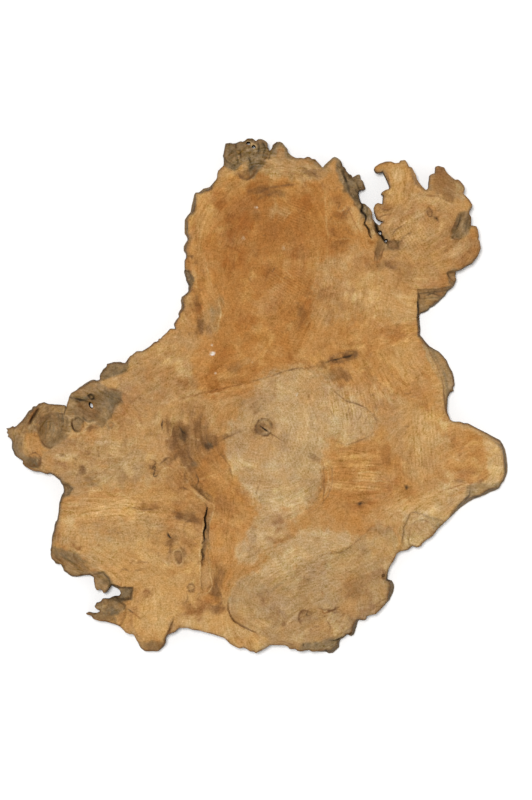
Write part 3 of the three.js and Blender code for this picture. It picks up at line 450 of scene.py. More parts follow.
# Weathered grey crust: how grey each is, and the outline's points across and down
CRUSTS = (
    ("crown", 1, (221, 165, 222, 142, 232, 138, 270, 137, 270, 152, 266, 164, 259, 172, 254, 179, 250, 178,
     248, 170, 246, 163, 240, 167, 236, 173, 228, 168)),
    ("crown notch", 0.8, (270, 156, 272, 146, 280, 140, 289, 145, 292, 160, 286, 158, 284, 149, 279, 149,
     276, 158)),
    ("top rim", 0.6, (289, 157, 302, 155, 312, 156, 324, 169, 318, 168, 309, 161, 296, 161)),
    ("second lump", 0.6, (323, 169, 328, 158, 336, 156, 343, 164, 338, 165, 333, 160, 328, 168)),
    ("dark ridge", 0.9, (337, 158, 346, 166, 362, 173, 368, 190, 362, 204, 374, 218, 366, 222, 352, 200,
     343, 186, 335, 172)),
    ("dark shoulder", 1, (180, 268, 190, 270, 194, 282, 190, 292, 180, 298)),
    ("lobe crevice", 0.5, (363, 206, 370, 206, 374, 218, 380, 224, 390, 240, 400, 242, 400, 251, 388, 250,
     380, 252, 376, 262, 374, 248, 378, 240, 373, 222, 366, 222, 361, 214)),
    ("left lobe", 0.6, (38, 402, 68, 400, 70, 390, 92, 378, 102, 384, 122, 392, 124, 403, 116, 407, 112,
     418, 102, 428, 94, 424, 85, 421, 80, 432, 72, 431, 66, 440, 52, 449, 42, 446, 38, 430, 38, 414)),
    ("left ridge", 0.6, (28, 400, 40, 402, 39, 418, 38, 432, 26, 434, 8, 448, 2, 430, 18, 418)),
    ("left tip", 0.6, (4, 424, 20, 420, 26, 436, 20, 452, 30, 458, 40, 468, 20, 466, 6, 445)),
    ("left lump", 0.8, (99, 382, 100, 364, 118, 358, 130, 360, 128, 372, 116, 377, 106, 379)),
    ("grey corner", 0.7, (54, 476, 66, 482, 75, 487, 70, 496, 58, 500)),
    ("lower left slope", 0.5, (48, 545, 62, 548, 80, 555, 90, 570, 96, 578, 70, 580, 50, 566)),
    ("flaky fragment", 0.7, (90, 571, 106, 571, 114, 583, 108, 594, 90, 592)),
    ("sunken notch", 0.85, (110, 584, 120, 586, 134, 587, 132, 600, 120, 602, 108, 598)),
    ("shards", 0.65, (84, 616, 92, 600, 106, 595, 124, 602, 126, 610, 114, 614, 118, 622, 100, 618)),
    ("broken wedge", 0.42, (458, 274, 450, 285, 440, 288, 418, 290, 416, 318, 434, 312, 460, 286)),
    ("upper right pocket", 0.7, (458, 214, 465, 212, 472, 216, 471, 227, 467, 235, 459, 240, 451, 239, 451,
     231, 454, 223)),
    ("dark pocket", 0.6, (445, 272, 455, 269, 460, 276, 456, 285, 448, 284)),
    ("tip underside", 0.45, (466, 486, 480, 482, 504, 484, 490, 500, 470, 504, 464, 500)),
    ("bottom edge", 0.6, (300, 644, 322, 640, 342, 634, 356, 622, 362, 636, 338, 656, 300, 656)),
    ("right edge of the lower lobe", 0.6, (384, 572, 394, 576, 398, 592, 386, 608, 388, 588)),
    ("bottom tip", 0.25, (138, 642, 150, 641, 166, 642, 162, 654, 140, 654)),
)

# Fine lines by tone: the half width in tenths of a pixel, the cover in percent, and the path's points across
# and down
LINES = {
    "honey": (
        (9, 70, 40, 444, 46, 450, 54, 449), (18, 60, 443, 499, 454, 495, 464, 490),
    ),
    "gold": (
        (11, 70, 196, 480, 210, 476, 226, 470), (13, 70, 164, 411, 180, 404, 204, 394),
        (11, 50, 128, 500, 146, 498, 166, 502), (10, 70, 324, 188, 326, 215, 328, 240, 327, 262),
        (24, 60, 345, 198, 352, 208, 357, 218, 362, 230, 368, 240), (7, 50, 331, 219, 338, 223, 345, 224),
        (8, 50, 360, 500, 380, 499, 402, 501), (12, 60, 160, 410, 178, 403, 200, 398),
        (24, 55, 203, 252, 206, 270, 210, 290), (16, 50, 196, 222, 200, 240, 201, 256),
        (14, 50, 354, 214, 360, 228, 366, 242),
        (14, 70, 420, 339, 425, 350, 432, 362, 439, 378, 442, 394, 444, 410, 448, 421),
    ),
    "lobe": (
        (15, 85, 367, 220, 370, 227, 373, 235), (20, 100, 245, 162, 244, 168, 246, 175),
        (24, 50, 218, 296, 219, 312, 216, 332),
    ),
    "tan": (
        (6, 80, 377, 228, 379, 230), (6, 80, 382, 236, 384, 238),
    ),
    "straw": (
        (7, 50, 194, 490, 202, 497, 211, 505), (9, 50, 208, 512, 208, 538, 209, 558, 211, 580),
        (18, 60, 369, 221, 372, 228, 373, 236), (10, 60, 370, 219, 373, 229, 377, 238),
        (8, 50, 364, 219, 368, 228, 371, 233), (10, 40, 334, 387, 347, 398, 360, 402, 372, 409, 380, 421),
        (10, 40, 182, 402, 206, 396, 231, 390, 251, 385), (8, 50, 205, 255, 208, 272, 213, 290),
        (8, 60, 218, 300, 221, 312, 221, 324), (8, 60, 449, 455, 456, 459, 462, 461),
        (8, 55, 228, 601, 236, 582, 247, 574, 256, 573, 273, 549, 280, 538),
        (12, 45, 425, 203, 440, 202, 458, 206), (9, 60, 408, 229, 400, 233, 395, 241),
        (9, 50, 414, 237, 408, 242, 404, 248), (10, 50, 62, 402, 66, 404, 64, 410, 68, 416),
        (11, 40, 64, 414, 66, 424, 64, 432), (11, 80, 85, 426, 88, 422, 95, 421),
        (16, 50, 64, 432, 72, 434, 82, 431), (8, 50, 33, 460, 36, 458, 38, 461, 35, 463),
        (8, 50, 171, 419, 172, 428, 171, 436), (8, 60, 158, 478, 166, 476, 172, 480),
        (8, 60, 180, 466, 186, 468, 184, 474), (10, 50, 132, 512, 146, 513, 158, 516),
        (14, 65, 58, 521, 70, 516, 84, 514, 96, 512, 110, 507), (12, 40, 120, 582, 138, 578, 160, 572),
        (9, 80, 214, 508, 212, 514, 210, 520, 209, 530), (8, 50, 202, 533, 200, 546, 199, 560),
        (9, 70, 209, 562, 210, 574, 212, 585, 208, 592, 200, 594), (8, 50, 92, 612, 102, 606, 110, 603),
        (8, 50, 41, 410, 36, 418, 32, 426), (9, 60, 86, 430, 92, 424, 97, 423),
        (8, 60, 116, 421, 117, 425, 116, 429), (10, 75, 246, 141, 250, 143, 253, 147, 254, 151),
        (8, 50, 336, 211, 342, 211, 346, 208), (9, 50, 336, 240, 346, 239, 355, 242),
        (7, 50, 464, 214, 462, 224, 459, 236), (11, 85, 431, 495, 450, 490, 469, 484),
        (7, 60, 346, 474, 362, 472, 380, 473), (7, 60, 356, 481, 372, 480, 390, 482),
        (12, 40, 342, 616, 349, 622, 346, 632), (8, 60, 189, 487, 198, 495, 208, 505),
        (8, 75, 203, 520, 203, 530, 201, 541), (8, 60, 200, 545, 199, 553, 200, 562),
        (10, 45, 36, 411, 31, 420, 29, 431), (11, 70, 66, 440, 72, 436, 82, 433, 88, 428, 94, 421),
        (9, 50, 71, 417, 70, 425, 74, 432, 81, 433), (9, 60, 158, 404, 170, 402, 184, 396),
        (9, 50, 160, 471, 168, 467, 176, 470), (9, 45, 299, 612, 284, 626, 270, 636),
        (9, 60, 418, 301, 432, 299, 446, 296), (9, 55, 418, 314, 426, 312, 432, 310),
        (9, 80, 218, 300, 221, 314, 217, 334), (9, 70, 248, 141, 255, 145, 256, 150),
        (9, 60, 361, 214, 358, 224, 362, 236), (8, 60, 334, 395, 346, 405, 358, 410, 368, 417, 374, 426),
        (8, 55, 321, 457, 328, 473, 326, 490, 317, 504, 300, 514), (7, 50, 274, 272, 284, 284),
        (7, 50, 284, 269, 294, 280), (7, 50, 284, 220, 292, 211),
        (14, 85, 84, 431, 88, 426, 93, 423, 98, 422), (10, 85, 214, 505, 214, 512, 211, 519, 209, 528),
        (8, 85, 204, 541, 203, 546, 201, 552), (8, 75, 200, 556, 200, 572, 200, 585),
        (7, 60, 374, 221, 377, 227),
    ),
    "russet": (
        (10, 70, 180, 399, 205, 393, 230, 387, 250, 382),
        (16, 35, 270, 540, 277, 530, 284, 520, 294, 512, 308, 508), (12, 35, 380, 330, 396, 336, 415, 345),
        (8, 50, 362, 535, 376, 524, 390, 528, 398, 537), (16, 70, 28, 425, 33, 415, 40, 406),
        (11, 70, 142, 592, 147, 590, 152, 594), (11, 60, 132, 611, 136, 614, 141, 618),
        (10, 50, 58, 516, 56, 530, 56, 542), (6, 60, 174, 551, 173, 558, 176, 564),
        (6, 60, 182, 551, 183, 557, 181, 563), (9, 60, 262, 192, 276, 187, 292, 185),
        (9, 60, 262, 176, 272, 172, 283, 172, 292, 174, 302, 176),
        (8, 60, 343, 200, 349, 212, 354, 222, 360, 234), (13, 70, 252, 173, 255, 170, 257, 166),
        (14, 45, 277, 158, 280, 151, 284, 157), (13, 60, 333, 201, 337, 204, 341, 203),
        (14, 60, 340, 214, 345, 216, 347, 221), (13, 55, 329, 229, 334, 235, 341, 238),
        (12, 50, 332, 243, 339, 242, 344, 243), (11, 45, 351, 247, 345, 251, 337, 253),
        (7, 60, 433, 493, 450, 488, 466, 483), (9, 80, 318, 608, 322, 609, 325, 612, 330, 610, 334, 611),
        (14, 50, 345, 643, 352, 638, 356, 630), (12, 50, 386, 596, 390, 590),
        (12, 70, 36, 409, 32, 417, 29, 426), (11, 50, 168, 452, 174, 458, 170, 464, 176, 470),
        (11, 50, 200, 462, 208, 458, 214, 462), (11, 50, 178, 470, 182, 476, 179, 483),
        (18, 60, 30, 424, 34, 416, 40, 407), (11, 60, 276, 158, 279, 151, 283, 151, 286, 158),
        (10, 50, 306, 392, 310, 402, 312, 410),
    ),
    "bark": (
        (15, 85, 407, 163, 412, 175, 418, 187, 427, 192), (15, 80, 429, 168, 428, 180, 428, 191),
        (20, 85, 443, 170, 450, 178, 459, 183, 464, 190), (17, 80, 464, 190, 471, 201, 471, 208, 466, 214),
        (19, 85, 474, 227, 478, 236, 479, 248, 474, 259, 462, 269),
        (17, 70, 66, 490, 61, 502, 57, 514, 54, 530, 52, 545), (12, 60, 456, 230, 460, 232, 466, 231),
        (26, 70, 382, 242, 379, 251, 377, 261), (22, 60, 393, 588, 384, 604, 370, 618),
        (8, 60, 350, 406, 346, 415), (8, 60, 362, 411, 358, 421), (8, 60, 368, 415, 363, 425),
        (8, 50, 326, 456, 332, 472, 330, 490, 320, 506, 304, 516),
        (8, 45, 317, 463, 322, 477, 320, 492, 311, 504),
        (26, 85, 210, 508, 208, 520, 207, 534, 204, 548, 203, 562),
    ),
    "ash": (
        (9, 60, 418, 299, 430, 298, 444, 297), (9, 50, 418, 309, 426, 309, 434, 308),
        (13, 70, 52, 416, 54, 428, 52, 442),
        (23, 80, 273, 156, 274, 149, 279, 144, 285, 146, 288, 153, 289, 160),
        (23, 75, 324, 168, 328, 162, 334, 158, 341, 161, 344, 167),
        (20, 70, 425, 342, 432, 352, 439, 364, 445, 378, 448, 396, 449, 412),
        (14, 70, 478, 434, 494, 441, 502, 450, 505, 464, 504, 478, 498, 486),
    ),
    # painted shade among the grain lines and outlines: the lines from (162, 646) and (165, 641) in the bottom
    # wedge's gap, from (205, 544) in the long crack's lower half, and from (421, 337) and (443, 388) along
    # the root bulge's step
    "umber": (
        (6, 60, 214, 508, 210, 522, 209, 539, 209, 558, 212, 572, 212, 586),
        (6, 60, 202, 568, 201, 580, 203, 591), (9, 45, 377, 423, 373, 432, 364, 438, 346, 444, 328, 437),
        (9, 70, 250, 382, 269, 377, 290, 370, 317, 366),
        (9, 80, 228, 601, 229, 610, 233, 619, 240, 624, 250, 629, 258, 633),
        (7, 60, 374, 606, 381, 601, 388, 596), (6, 50, 368, 612, 376, 607, 384, 604),
        (7, 50, 272, 642, 284, 641, 300, 648), (8, 50, 326, 618, 330, 626, 328, 636),
        (11, 45, 376, 166, 381, 164, 388, 163), (12, 60, 380, 172, 386, 174, 389, 184),
        (10, 50, 424, 196, 436, 197, 450, 203),
        (8, 80, 426, 210, 428, 208, 431, 212, 431, 217, 428, 217, 426, 210),
        (9, 50, 405, 225, 397, 229, 391, 237), (9, 50, 412, 232, 404, 237, 400, 245),
        (11, 50, 377, 206, 384, 210, 392, 209), (9, 50, 376, 219, 383, 216, 392, 213),
        (10, 70, 447, 273, 449, 278, 456, 284), (9, 45, 403, 548, 403, 530, 409, 514, 416, 511),
        (12, 60, 8, 430, 14, 426, 22, 428), (11, 75, 38, 420, 39, 432, 43, 442, 50, 448, 60, 443),
        (11, 85, 72, 418, 72, 425, 76, 431, 81, 431), (10, 60, 74, 400, 80, 403, 84, 410),
        (18, 60, 87, 430, 91, 425, 98, 424), (10, 70, 107, 390, 114, 390, 121, 393),
        (9, 50, 120, 393, 121, 401, 115, 406, 112, 416),
        (10, 60, 30, 455, 36, 453, 41, 458, 38, 465, 31, 466, 28, 461),
        (13, 60, 22, 462, 34, 470, 50, 474), (12, 50, 100, 381, 101, 372, 106, 366),
        (11, 60, 60, 484, 68, 487, 69, 494), (16, 60, 193, 484, 203, 491, 214, 499),
        (11, 80, 177, 490, 183, 487, 190, 490), (10, 70, 160, 464, 166, 459, 170, 457),
        (11, 50, 218, 452, 226, 460, 231, 470, 233, 480), (11, 50, 222, 440, 234, 434, 246, 430),
        (12, 55, 135, 506, 145, 508, 156, 511), (10, 60, 125, 505, 136, 508, 148, 510, 158, 508),
        (10, 50, 118, 572, 124, 569, 131, 571), (10, 50, 136, 563, 142, 561, 150, 563),
        (10, 40, 132, 571, 142, 569, 150, 566), (11, 60, 55, 556, 62, 562, 66, 570),
        (12, 60, 170, 510, 177, 513, 184, 518), (10, 50, 172, 541, 170, 548, 171, 554),
        (11, 40, 186, 522, 184, 530, 186, 538), (11, 50, 186, 590, 188, 598, 184, 604),
        (11, 50, 214, 570, 216, 582, 222, 594, 221, 606), (9, 90, 165, 641, 168, 632, 173, 621),
        (12, 35, 134, 610, 132, 622, 138, 634, 146, 642), (11, 50, 86, 615, 98, 618, 112, 622, 124, 630),
        (9, 60, 84, 612, 94, 611, 104, 612), (12, 80, 162, 646, 168, 634, 174, 618),
        (9, 70, 89, 432, 94, 427, 99, 428), (7, 60, 150, 458, 156, 462, 153, 468, 160, 472),
        (7, 60, 162, 460, 168, 457, 174, 460), (14, 50, 256, 196, 268, 189, 285, 186, 300, 184),
        (11, 45, 255, 201, 268, 195, 280, 192), (9, 50, 302, 176, 308, 171, 316, 170, 326, 171),
        (17, 65, 288, 158, 300, 158, 309, 158, 316, 162, 321, 167), (10, 70, 353, 204, 355, 207),
        (9, 60, 300, 166, 310, 172, 320, 178), (6, 80, 268, 432, 275, 436, 284, 442),
        (9, 75, 332, 390, 346, 401, 359, 405, 370, 412, 377, 423), (11, 45, 328, 407, 332, 413, 337, 421),
        (11, 40, 210, 441, 226, 435, 246, 427), (16, 95, 238, 173, 241, 178, 247, 180, 253, 176, 257, 169),
        (14, 70, 233, 145, 236, 147, 236, 150), (10, 80, 245, 144, 249, 147, 252, 150),
        (10, 70, 267, 144, 268, 152, 264, 162), (8, 80, 270, 158, 272, 151, 277, 145),
        (9, 90, 283, 143, 287, 147, 288, 156), (9, 60, 262, 163, 268, 158, 272, 160),
        (12, 40, 331, 211, 334, 215, 339, 217), (11, 40, 345, 228, 349, 233, 355, 236),
        (10, 80, 371, 224, 375, 232, 378, 239), (14, 70, 388, 243, 393, 247, 398, 250),
        (9, 85, 457, 215, 453, 226, 450, 236, 456, 240, 464, 238),
        (9, 80, 443, 388, 444, 402, 446, 413, 450, 419), (11, 65, 336, 553, 345, 550, 352, 544),
        (7, 60, 352, 544, 357, 540, 362, 535), (10, 80, 300, 623, 298, 616, 302, 610, 308, 610, 311, 612),
        (9, 85, 327, 612, 333, 609, 339, 606), (9, 80, 341, 637, 350, 631, 357, 622, 361, 615),
        (11, 80, 318, 649, 328, 651, 337, 650), (9, 95, 382, 568, 385, 572, 382, 577, 386, 578),
        (10, 60, 180, 431, 185, 435, 184, 440), (11, 60, 188, 454, 192, 460, 190, 466),
        (16, 70, 205, 544, 202, 550, 204, 557, 202, 566), (15, 55, 166, 414, 168, 426, 169, 436),
        (12, 60, 163, 420, 162, 428), (15, 60, 187, 470, 185, 477, 188, 482),
        (12, 75, 191, 484, 200, 492, 211, 502), (12, 60, 177, 552, 176, 557, 179, 562),
        (8, 60, 180, 632, 196, 630, 214, 633), (12, 60, 150, 458, 156, 462, 153, 468, 160, 472),
        (13, 50, 212, 447, 222, 440, 234, 434), (13, 50, 189, 474, 193, 482, 192, 489),
        (8, 60, 84, 430, 92, 426, 100, 427), (10, 60, 17, 452, 24, 460, 34, 468),
        (9, 50, 116, 356, 110, 364, 104, 370), (8, 75, 378, 241, 376, 250, 374, 261),
        (8, 75, 386, 241, 383, 250, 379, 262), (16, 70, 387, 240, 393, 245, 399, 250),
        (12, 90, 301, 624, 299, 617, 302, 611, 308, 610, 311, 613),
        (12, 80, 319, 607, 326, 609, 333, 610, 339, 606), (11, 80, 380, 569, 383, 573, 381, 578, 386, 578),
        (9, 50, 362, 618, 352, 626, 340, 633, 329, 640),
        (10, 80, 29, 455, 36, 453, 42, 458, 39, 466, 31, 466),
        (8, 65, 421, 337, 428, 350, 435, 363, 441, 378, 444, 394, 446, 410, 450, 420),
        (9, 60, 408, 548, 409, 535, 412, 524, 420, 519, 430, 522), (8, 60, 323, 462, 324, 480, 323, 506),
        (9, 65, 261, 478, 258, 488, 256, 496), (18, 80, 88, 431, 93, 427, 99, 429),
        (12, 60, 26, 412, 22, 420, 14, 426), (10, 60, 46, 408, 56, 404, 66, 406),
        (9, 75, 388, 241, 393, 249), (9, 70, 375, 248, 374, 262),
    ),
    "slate": (
        (11, 60, 47, 414, 47, 428, 46, 438), (12, 60, 58, 412, 60, 424, 57, 438),
        (10, 60, 57, 551, 68, 558, 76, 566, 84, 574), (14, 80, 53, 560, 60, 563),
        (9, 70, 106, 574, 110, 582, 106, 592), (10, 70, 92, 600, 104, 597, 118, 599),
        (8, 60, 62, 410, 64, 420, 63, 432), (13, 80, 362, 203, 367, 210, 369, 219),
        (15, 30, 270, 592, 278, 585, 288, 577), (11, 50, 205, 437, 209, 443, 213, 449),
        (20, 75, 271, 158, 273, 150, 278, 144, 285, 144, 288, 150, 290, 158),
        (18, 75, 323, 169, 328, 160, 334, 157, 341, 158, 345, 166), (10, 70, 52, 414, 51, 426, 53, 440),
        (10, 65, 63, 414, 62, 426, 60, 440), (14, 75, 31, 457, 35, 461, 38, 466),
        (10, 60, 30, 466, 35, 468, 40, 466),
    ),
    # near-black lines: painted shade in the cracks, slits and tip trench and along the flanks' steps, and
    # dark lines in the stained wood
    "char": (
        (8, 70, 324, 363, 335, 359.8, 344.5, 357.5, 354, 355),
        (10, 80, 376, 224, 378, 231, 381, 236, 384, 241, 388, 245), (13, 60, 433, 217, 438, 222),
        (8, 50, 418, 294, 432, 292.5, 448, 291), (9, 60, 470, 486, 468, 495, 462, 501, 450, 512),
        (12, 60, 83, 416, 88, 421, 95, 420), (9, 70, 163, 420, 162, 425, 163, 430),
        (12, 60, 180, 427, 183, 432, 186, 434), (9, 50, 152, 470, 156, 466, 154, 476, 160, 474),
        (10, 50, 128, 608, 133, 612), (11, 80, 168, 533, 170, 536, 172, 538),
        (9, 70, 205, 503, 207, 508, 206, 514), (13, 70, 39, 408, 34, 416, 30, 424),
        (10, 80, 66, 404, 66, 409, 65, 414), (12, 75, 70, 397, 78, 399, 87, 401),
        (12, 80, 88, 394, 92, 399, 96, 398), (8, 70, 83, 416, 85, 419, 87, 421),
        (8, 60, 72, 424, 75, 430, 80, 431.5), (12, 70, 108, 424, 108, 428, 111, 430),
        (9, 50, 196, 472, 199, 480, 197, 486), (9, 75, 418, 296, 417, 310, 419, 322, 420, 334),
        (8, 60, 424, 296, 432, 294, 440, 296), (9, 60, 236, 143, 236, 147, 236, 151),
        (9, 60, 237, 157, 238, 161, 237, 165), (9, 60, 249, 158, 250, 163, 249, 167),
        (9, 95, 260, 426, 264, 429, 268, 432), (8, 50, 224, 146, 231, 145, 240, 143),
        (9, 60, 257, 140, 259, 147, 258, 156), (9, 60, 262, 141, 265, 148, 263, 158),
        (10, 45, 224, 158, 230, 164, 236, 166), (8, 50, 240, 152, 241, 158, 240, 162),
        (15, 75, 341, 170, 344, 178, 347, 186, 350, 195, 357, 203),
        (10, 60, 346, 172, 351, 180, 357, 186, 362, 197), (12, 70, 355, 190, 360, 198, 366, 206),
        (11, 95, 358, 200, 362, 207, 361, 212, 366, 217, 365, 224, 369, 231, 371, 238),
        (11, 55, 460, 215, 458, 224, 454, 234), (10, 50, 468, 215, 466, 224, 465, 232),
        (7, 60, 308, 610, 306, 614, 309, 615, 312, 612), (9, 90, 329, 640, 336, 639, 341, 637),
        (8, 70, 303, 643, 304, 646),
        (9, 90, 208, 507, 206, 513, 205, 519, 206, 526, 204, 532, 205, 538, 202, 543),
        (7, 60, 203.2, 546, 201.5, 551, 203, 556, 202, 563), (10, 70, 250, 169, 254, 167, 259, 163),
        (9, 70, 90, 394, 94, 397, 93, 400), (10, 70, 268, 148, 270, 155, 268, 161),
        # painted shadow: the face's step over the broken wedge, along its left side
        (13, 80, 417, 292, 419, 297, 417, 303, 418, 310, 417, 318, 419, 330),
        (10, 80, 88, 396, 91, 394, 95, 396, 92, 400),
    ),
}

# Thin rings round knots, by tone: the middle, the two half sizes, the turn, the half width in pixels
# and the cover
RINGS = {
    "honey": (
        (210.5, 557, 2.6, 2.8, 0, 0.9, 0.8),
    ),
    "straw": (
        (190.8, 587, 2, 2.3, 0, 0.8, 0.6), (178.2, 556.8, 4.8, 7.6, 12, 0.8, 0.5),
        (111.5, 425, 3.8, 4.4, 0, 1.3, 0.8), (87, 446, 9.5, 10, 0, 0.8, 0.4),
    ),
    "russet": (
        (344, 357, 16, 6.5, 14, 0.6, 0.4), (87, 446, 12, 12, 0, 0.7, 0.3),
        (262, 455, 26, 28, 0, 0.8, 0.15),
    ),
    "umber": (
        (344, 357, 13, 4.6, 14, 0.8, 0.7), (190.8, 587, 3.6, 4, 0, 0.8, 0.8),
        (178.2, 556.8, 3.4, 6, 12, 0.7, 0.6), (424, 528, 9, 6.5, 10, 0.7, 0.2),
        (264, 427.4, 8.4, 8.7, 0, 0.8, 1), (264, 427.4, 12.5, 12.5, 0, 0.8, 0.2),
    ),
    "slate": (
        (111.5, 425, 2.2, 2.8, 0, 0.9, 0.8), (264, 427.4, 7.2, 7.4, 0, 0.6, 0.5),
    ),
}

# Squiggles of curly wood: the middle of the area, its half sizes, how many and the seed
SQUIGGLES = (
    (188, 445, 24, 28, 46, 801), (155, 470, 12, 9, 16, 802), (340, 222, 13, 28, 26, 803),
    (24, 428, 16, 16, 40, 804), (66, 424, 26, 20, 30, 822), (34, 460, 8, 7, 8, 805),
    (246, 152, 22, 12, 22, 806), (352, 186, 14, 20, 18, 807), (104, 610, 18, 12, 14, 808),
    (70, 564, 18, 10, 14, 809), (436, 300, 16, 10, 12, 810), (330, 624, 26, 16, 20, 811),
    (92, 456, 34, 24, 44, 812), (192, 300, 10, 50, 22, 813), (300, 180, 34, 14, 16, 814),
    (196, 560, 16, 50, 24, 815), (370, 400, 50, 60, 30, 816), (425, 230, 44, 44, 30, 817),
    (120, 560, 60, 50, 34, 818), (150, 400, 44, 40, 26, 819), (272, 300, 50, 90, 34, 820),
    (320, 590, 70, 40, 26, 821),
)
SQUIGGLE_TONES = ("umber", "straw", "russet", "gold", "umber")
SQUIGGLE_BEND = 0.7  # the sharpest turn from one step of a squiggle to the next, in radians
SQUIGGLE_STEP = (1.2, 2.6)
SQUIGGLE_STEPS = 4
SQUIGGLE_HALF = (0.6, 1)
SQUIGGLE_COVER = (0.3, 0.6)

# Pale flecks: the middle, the size in pixels and the cover
FLECKS = (
    (211.9, 354.2, 2, 0.9), (217, 374, 1.1, 0.5), (256, 208, 1.2, 0.6), (244, 239, 1.3, 0.25),
    (285, 248, 1.6, 0.22), (296.7, 393.8, 1.1, 0.4), (212, 346, 1, 0.5), (252, 362, 1.1, 0.3),
)

# Figure over the whole face: how it shifts red, green and blue, the size of its patches and the seed
FIGURES = (
    (0.05, 0.065, 0.05, 26, 630), (-0.05, -0.065, -0.055, 22, 631), (-0.004, 0.004, 0.025, 30, 632),
    (0.05, 0.065, 0.06, 12, 633), (-0.075, -0.075, -0.06, 11, 634), (0, -0.012, -0.022, 17, 635),
)

# Streaks along the grain: their widths in pixels, the share of each, and the shift of the light and the
# dark ones
STREAK_WIDTHS = (2, 4, 8)
STREAK_SHARES = (0.5, 0.6, 0.5)
STREAK_LIGHT = (0.032, 0.038, 0.03)
STREAK_DARK = (0.034, 0.04, 0.034)
STREAK_SLENDERNESS = 11  # length of a streak, as a multiple of its width
STREAK_RANGE = 2  # streaks are cut off at this many times their spread

# How far the marks' lines wander, in pixels: in broad swings and in small ripples
WANDER = {"loose": (6, 1.6), "close": (1.6, 0.7), "sharp": (0.5, 0.5)}
LOOSE_ABOVE = 4  # zones with a softer border than this wander loosely
LOOSE_BLOT = 5  # and so do blots with a larger half size
BLOT_COVER = 0.85
CRUST_COVER = 0.85
CRUST_SOFTNESS = 3  # width of a crust's border, in pixels
CRUST_WANDER = 1.4
EDGE_REACH = 8  # the face's edge tints the wood up to this far in
RIM_COVER = 0.5
FISSURE_COVER = 0.16

# Painted shade in cracks and pits: a cut is painted darker below the first of these depths, and darkest where
# it is deeper by the second
CRACK_SHADE_FROM = 2.5 * MM
CRACK_SHADE_OVER = 14 * MM
CRACK_SHADE_COVER = 0.8

# Back and wall: how much of the lobe's tone dulls the back, how much of the face's tone shows in a sound
# wall, the covers of the wall's brown patches and dark splits and the splits' width as a share of their
# noise's range, and how weathered the wall's finish is at the least
BACK_DULLNESS = 0.3
SOUND_WALL = 0.35
WALL_BROWN = 0.55
WALL_SPLITS = 0.5
SPLIT_WIDTH = 0.12
WALL_WEATHERED = 0.7

# Fine streaks and seams of the finish: how long and wide one is, in metres, and how many directions they have
STREAK_LENGTH = 26 * MM
STREAK_WIDTH = 3.6 * MM
SEAM_LENGTH = 90 * MM
SEAM_WIDTH = 10 * MM
STREAK_DIRECTIONS = 6
SEAM_LINE = 0.024  # half width of a seam, as a share of its noise's range
SEAM_APART = 0.07  # the level of the pale seams above that of the dark ones
DRIFT = 9 * MM  # how far streaks and seams wander

# Noises of the finish: the scale, the detail, the roughness and, where it has one, the distortion
FINISH_NOISES = {
    "clouds": (42, 5, 0.62),
    "mottle": (190, 3, 0.6),
    "grit": (420, 2, 0.7),
    "pores": (460, 2, 0.5),
    "grains": (380, 2, 0.5),
    "curls": (34, 3, 0.5, 1.6),
    "patches": (60, 2, 0.5),
    "fibres": (260, 5, 0.75, 0.6),
    "crumbs": (520, 3, 0.7),
}

# How much each part of the finish lightens clean and weathered wood, and how far it raises them
CLEAN_LIGHT = {
    "clouds": 0.3, "mottle": 0.5, "grit": 1.15, "streaks": 0.6, "bands": 0.25, "rays": 0.4, "marks": 0.2,
    "pores": -0.14, "grains": 0.03, "golden grains": 0.14, "dark veins": -0.2, "pale veins": 0.16,
    "dark seams": -0.25, "pale seams": 0.21,
}
WORN_LIGHT = {"fibres": 1.4, "crumbs": 1.0, "streaks": 1.3, "dark seams": -0.5, "pale seams": 0.4}
CLEAN_RELIEF = {"mottle": 0.5, "grit": 0.5, "streaks": 0.6, "marks": 0.3, "pores": -0.4}
WORN_RELIEF = {"fibres": 2.6, "crumbs": 1.0}
RELIEF_HEIGHT = 0.6 * MM

# Roughness of sawn wood, and what the crust and the mottle add to it
SAWN_ROUGHNESS = 0.72
CRUST_ROUGHNESS = 0.2
MOTTLE_ROUGHNESS = 0.12

# How strongly lightness acts on red, green and blue, and the warm and the cool shade of the wood
LIGHT_TINT = (0.9, 1.05, 1.8)
WARM = (1.02, 0.99, 0.93)
COOL = (0.98, 1.005, 1.05)

# The stage: the floor's half side, its depth below the slab and its darker patches, the sun's direction and
# breadth, and how far the camera sees
FLOOR_HALF = 6.0
FLOOR_DROP = 0.5 * MM
FLOOR_SHADE = 0.985
SUN_FROM = (-0.06, 0.07, 1)
SUN_DEGREES = 9
CAMERA_REACH = 100
SHARP_DEGREES = 50  # edges of the surface that turn by more than this aren't smoothed

# Growth centres: the middle, and how close the rings run across and down
GROWTH = (
    (263, 428, 1, 1), (264, 262, 1.25, 0.85), (304, 610, 1.1, 1.25), (428, 228, 1.3, 1.5),
    (470, 462, 1.2, 1.6), (90, 540, 1.2, 1.6), (70, 440, 1.4, 1.8), (424, 528, 2, 2), (178, 557, 3, 3),
)
GROWTH_BLEND = 16  # pixels over which two families of rings run together

# Saw marks: the middle, the half sizes, the direction across the marks in degrees, their spacing in pixels
# and the strength
SAW_MARKS = (
    (354, 404, 26, 16, 12, 3, 1), (364, 478, 26, 16, 84, 3.2, 0.8), (294, 214, 16, 14, 70, 2.6, 0.9),
    (286, 282, 18, 16, 60, 2.6, 0.9), (300, 440, 30, 24, 20, 3, 0.45), (424, 440, 14, 34, 5, 3.4, 0.7),
    (300, 570, 44, 26, 100, 3, 0.5), (290, 340, 24, 24, 75, 3, 0.4), (120, 450, 30, 24, 80, 3, 0.4),
    (410, 236, 18, 22, 30, 3, 0.8), (110, 520, 44, 26, 86, 3.2, 0.35), (240, 500, 24, 40, 10, 3, 0.3),
)

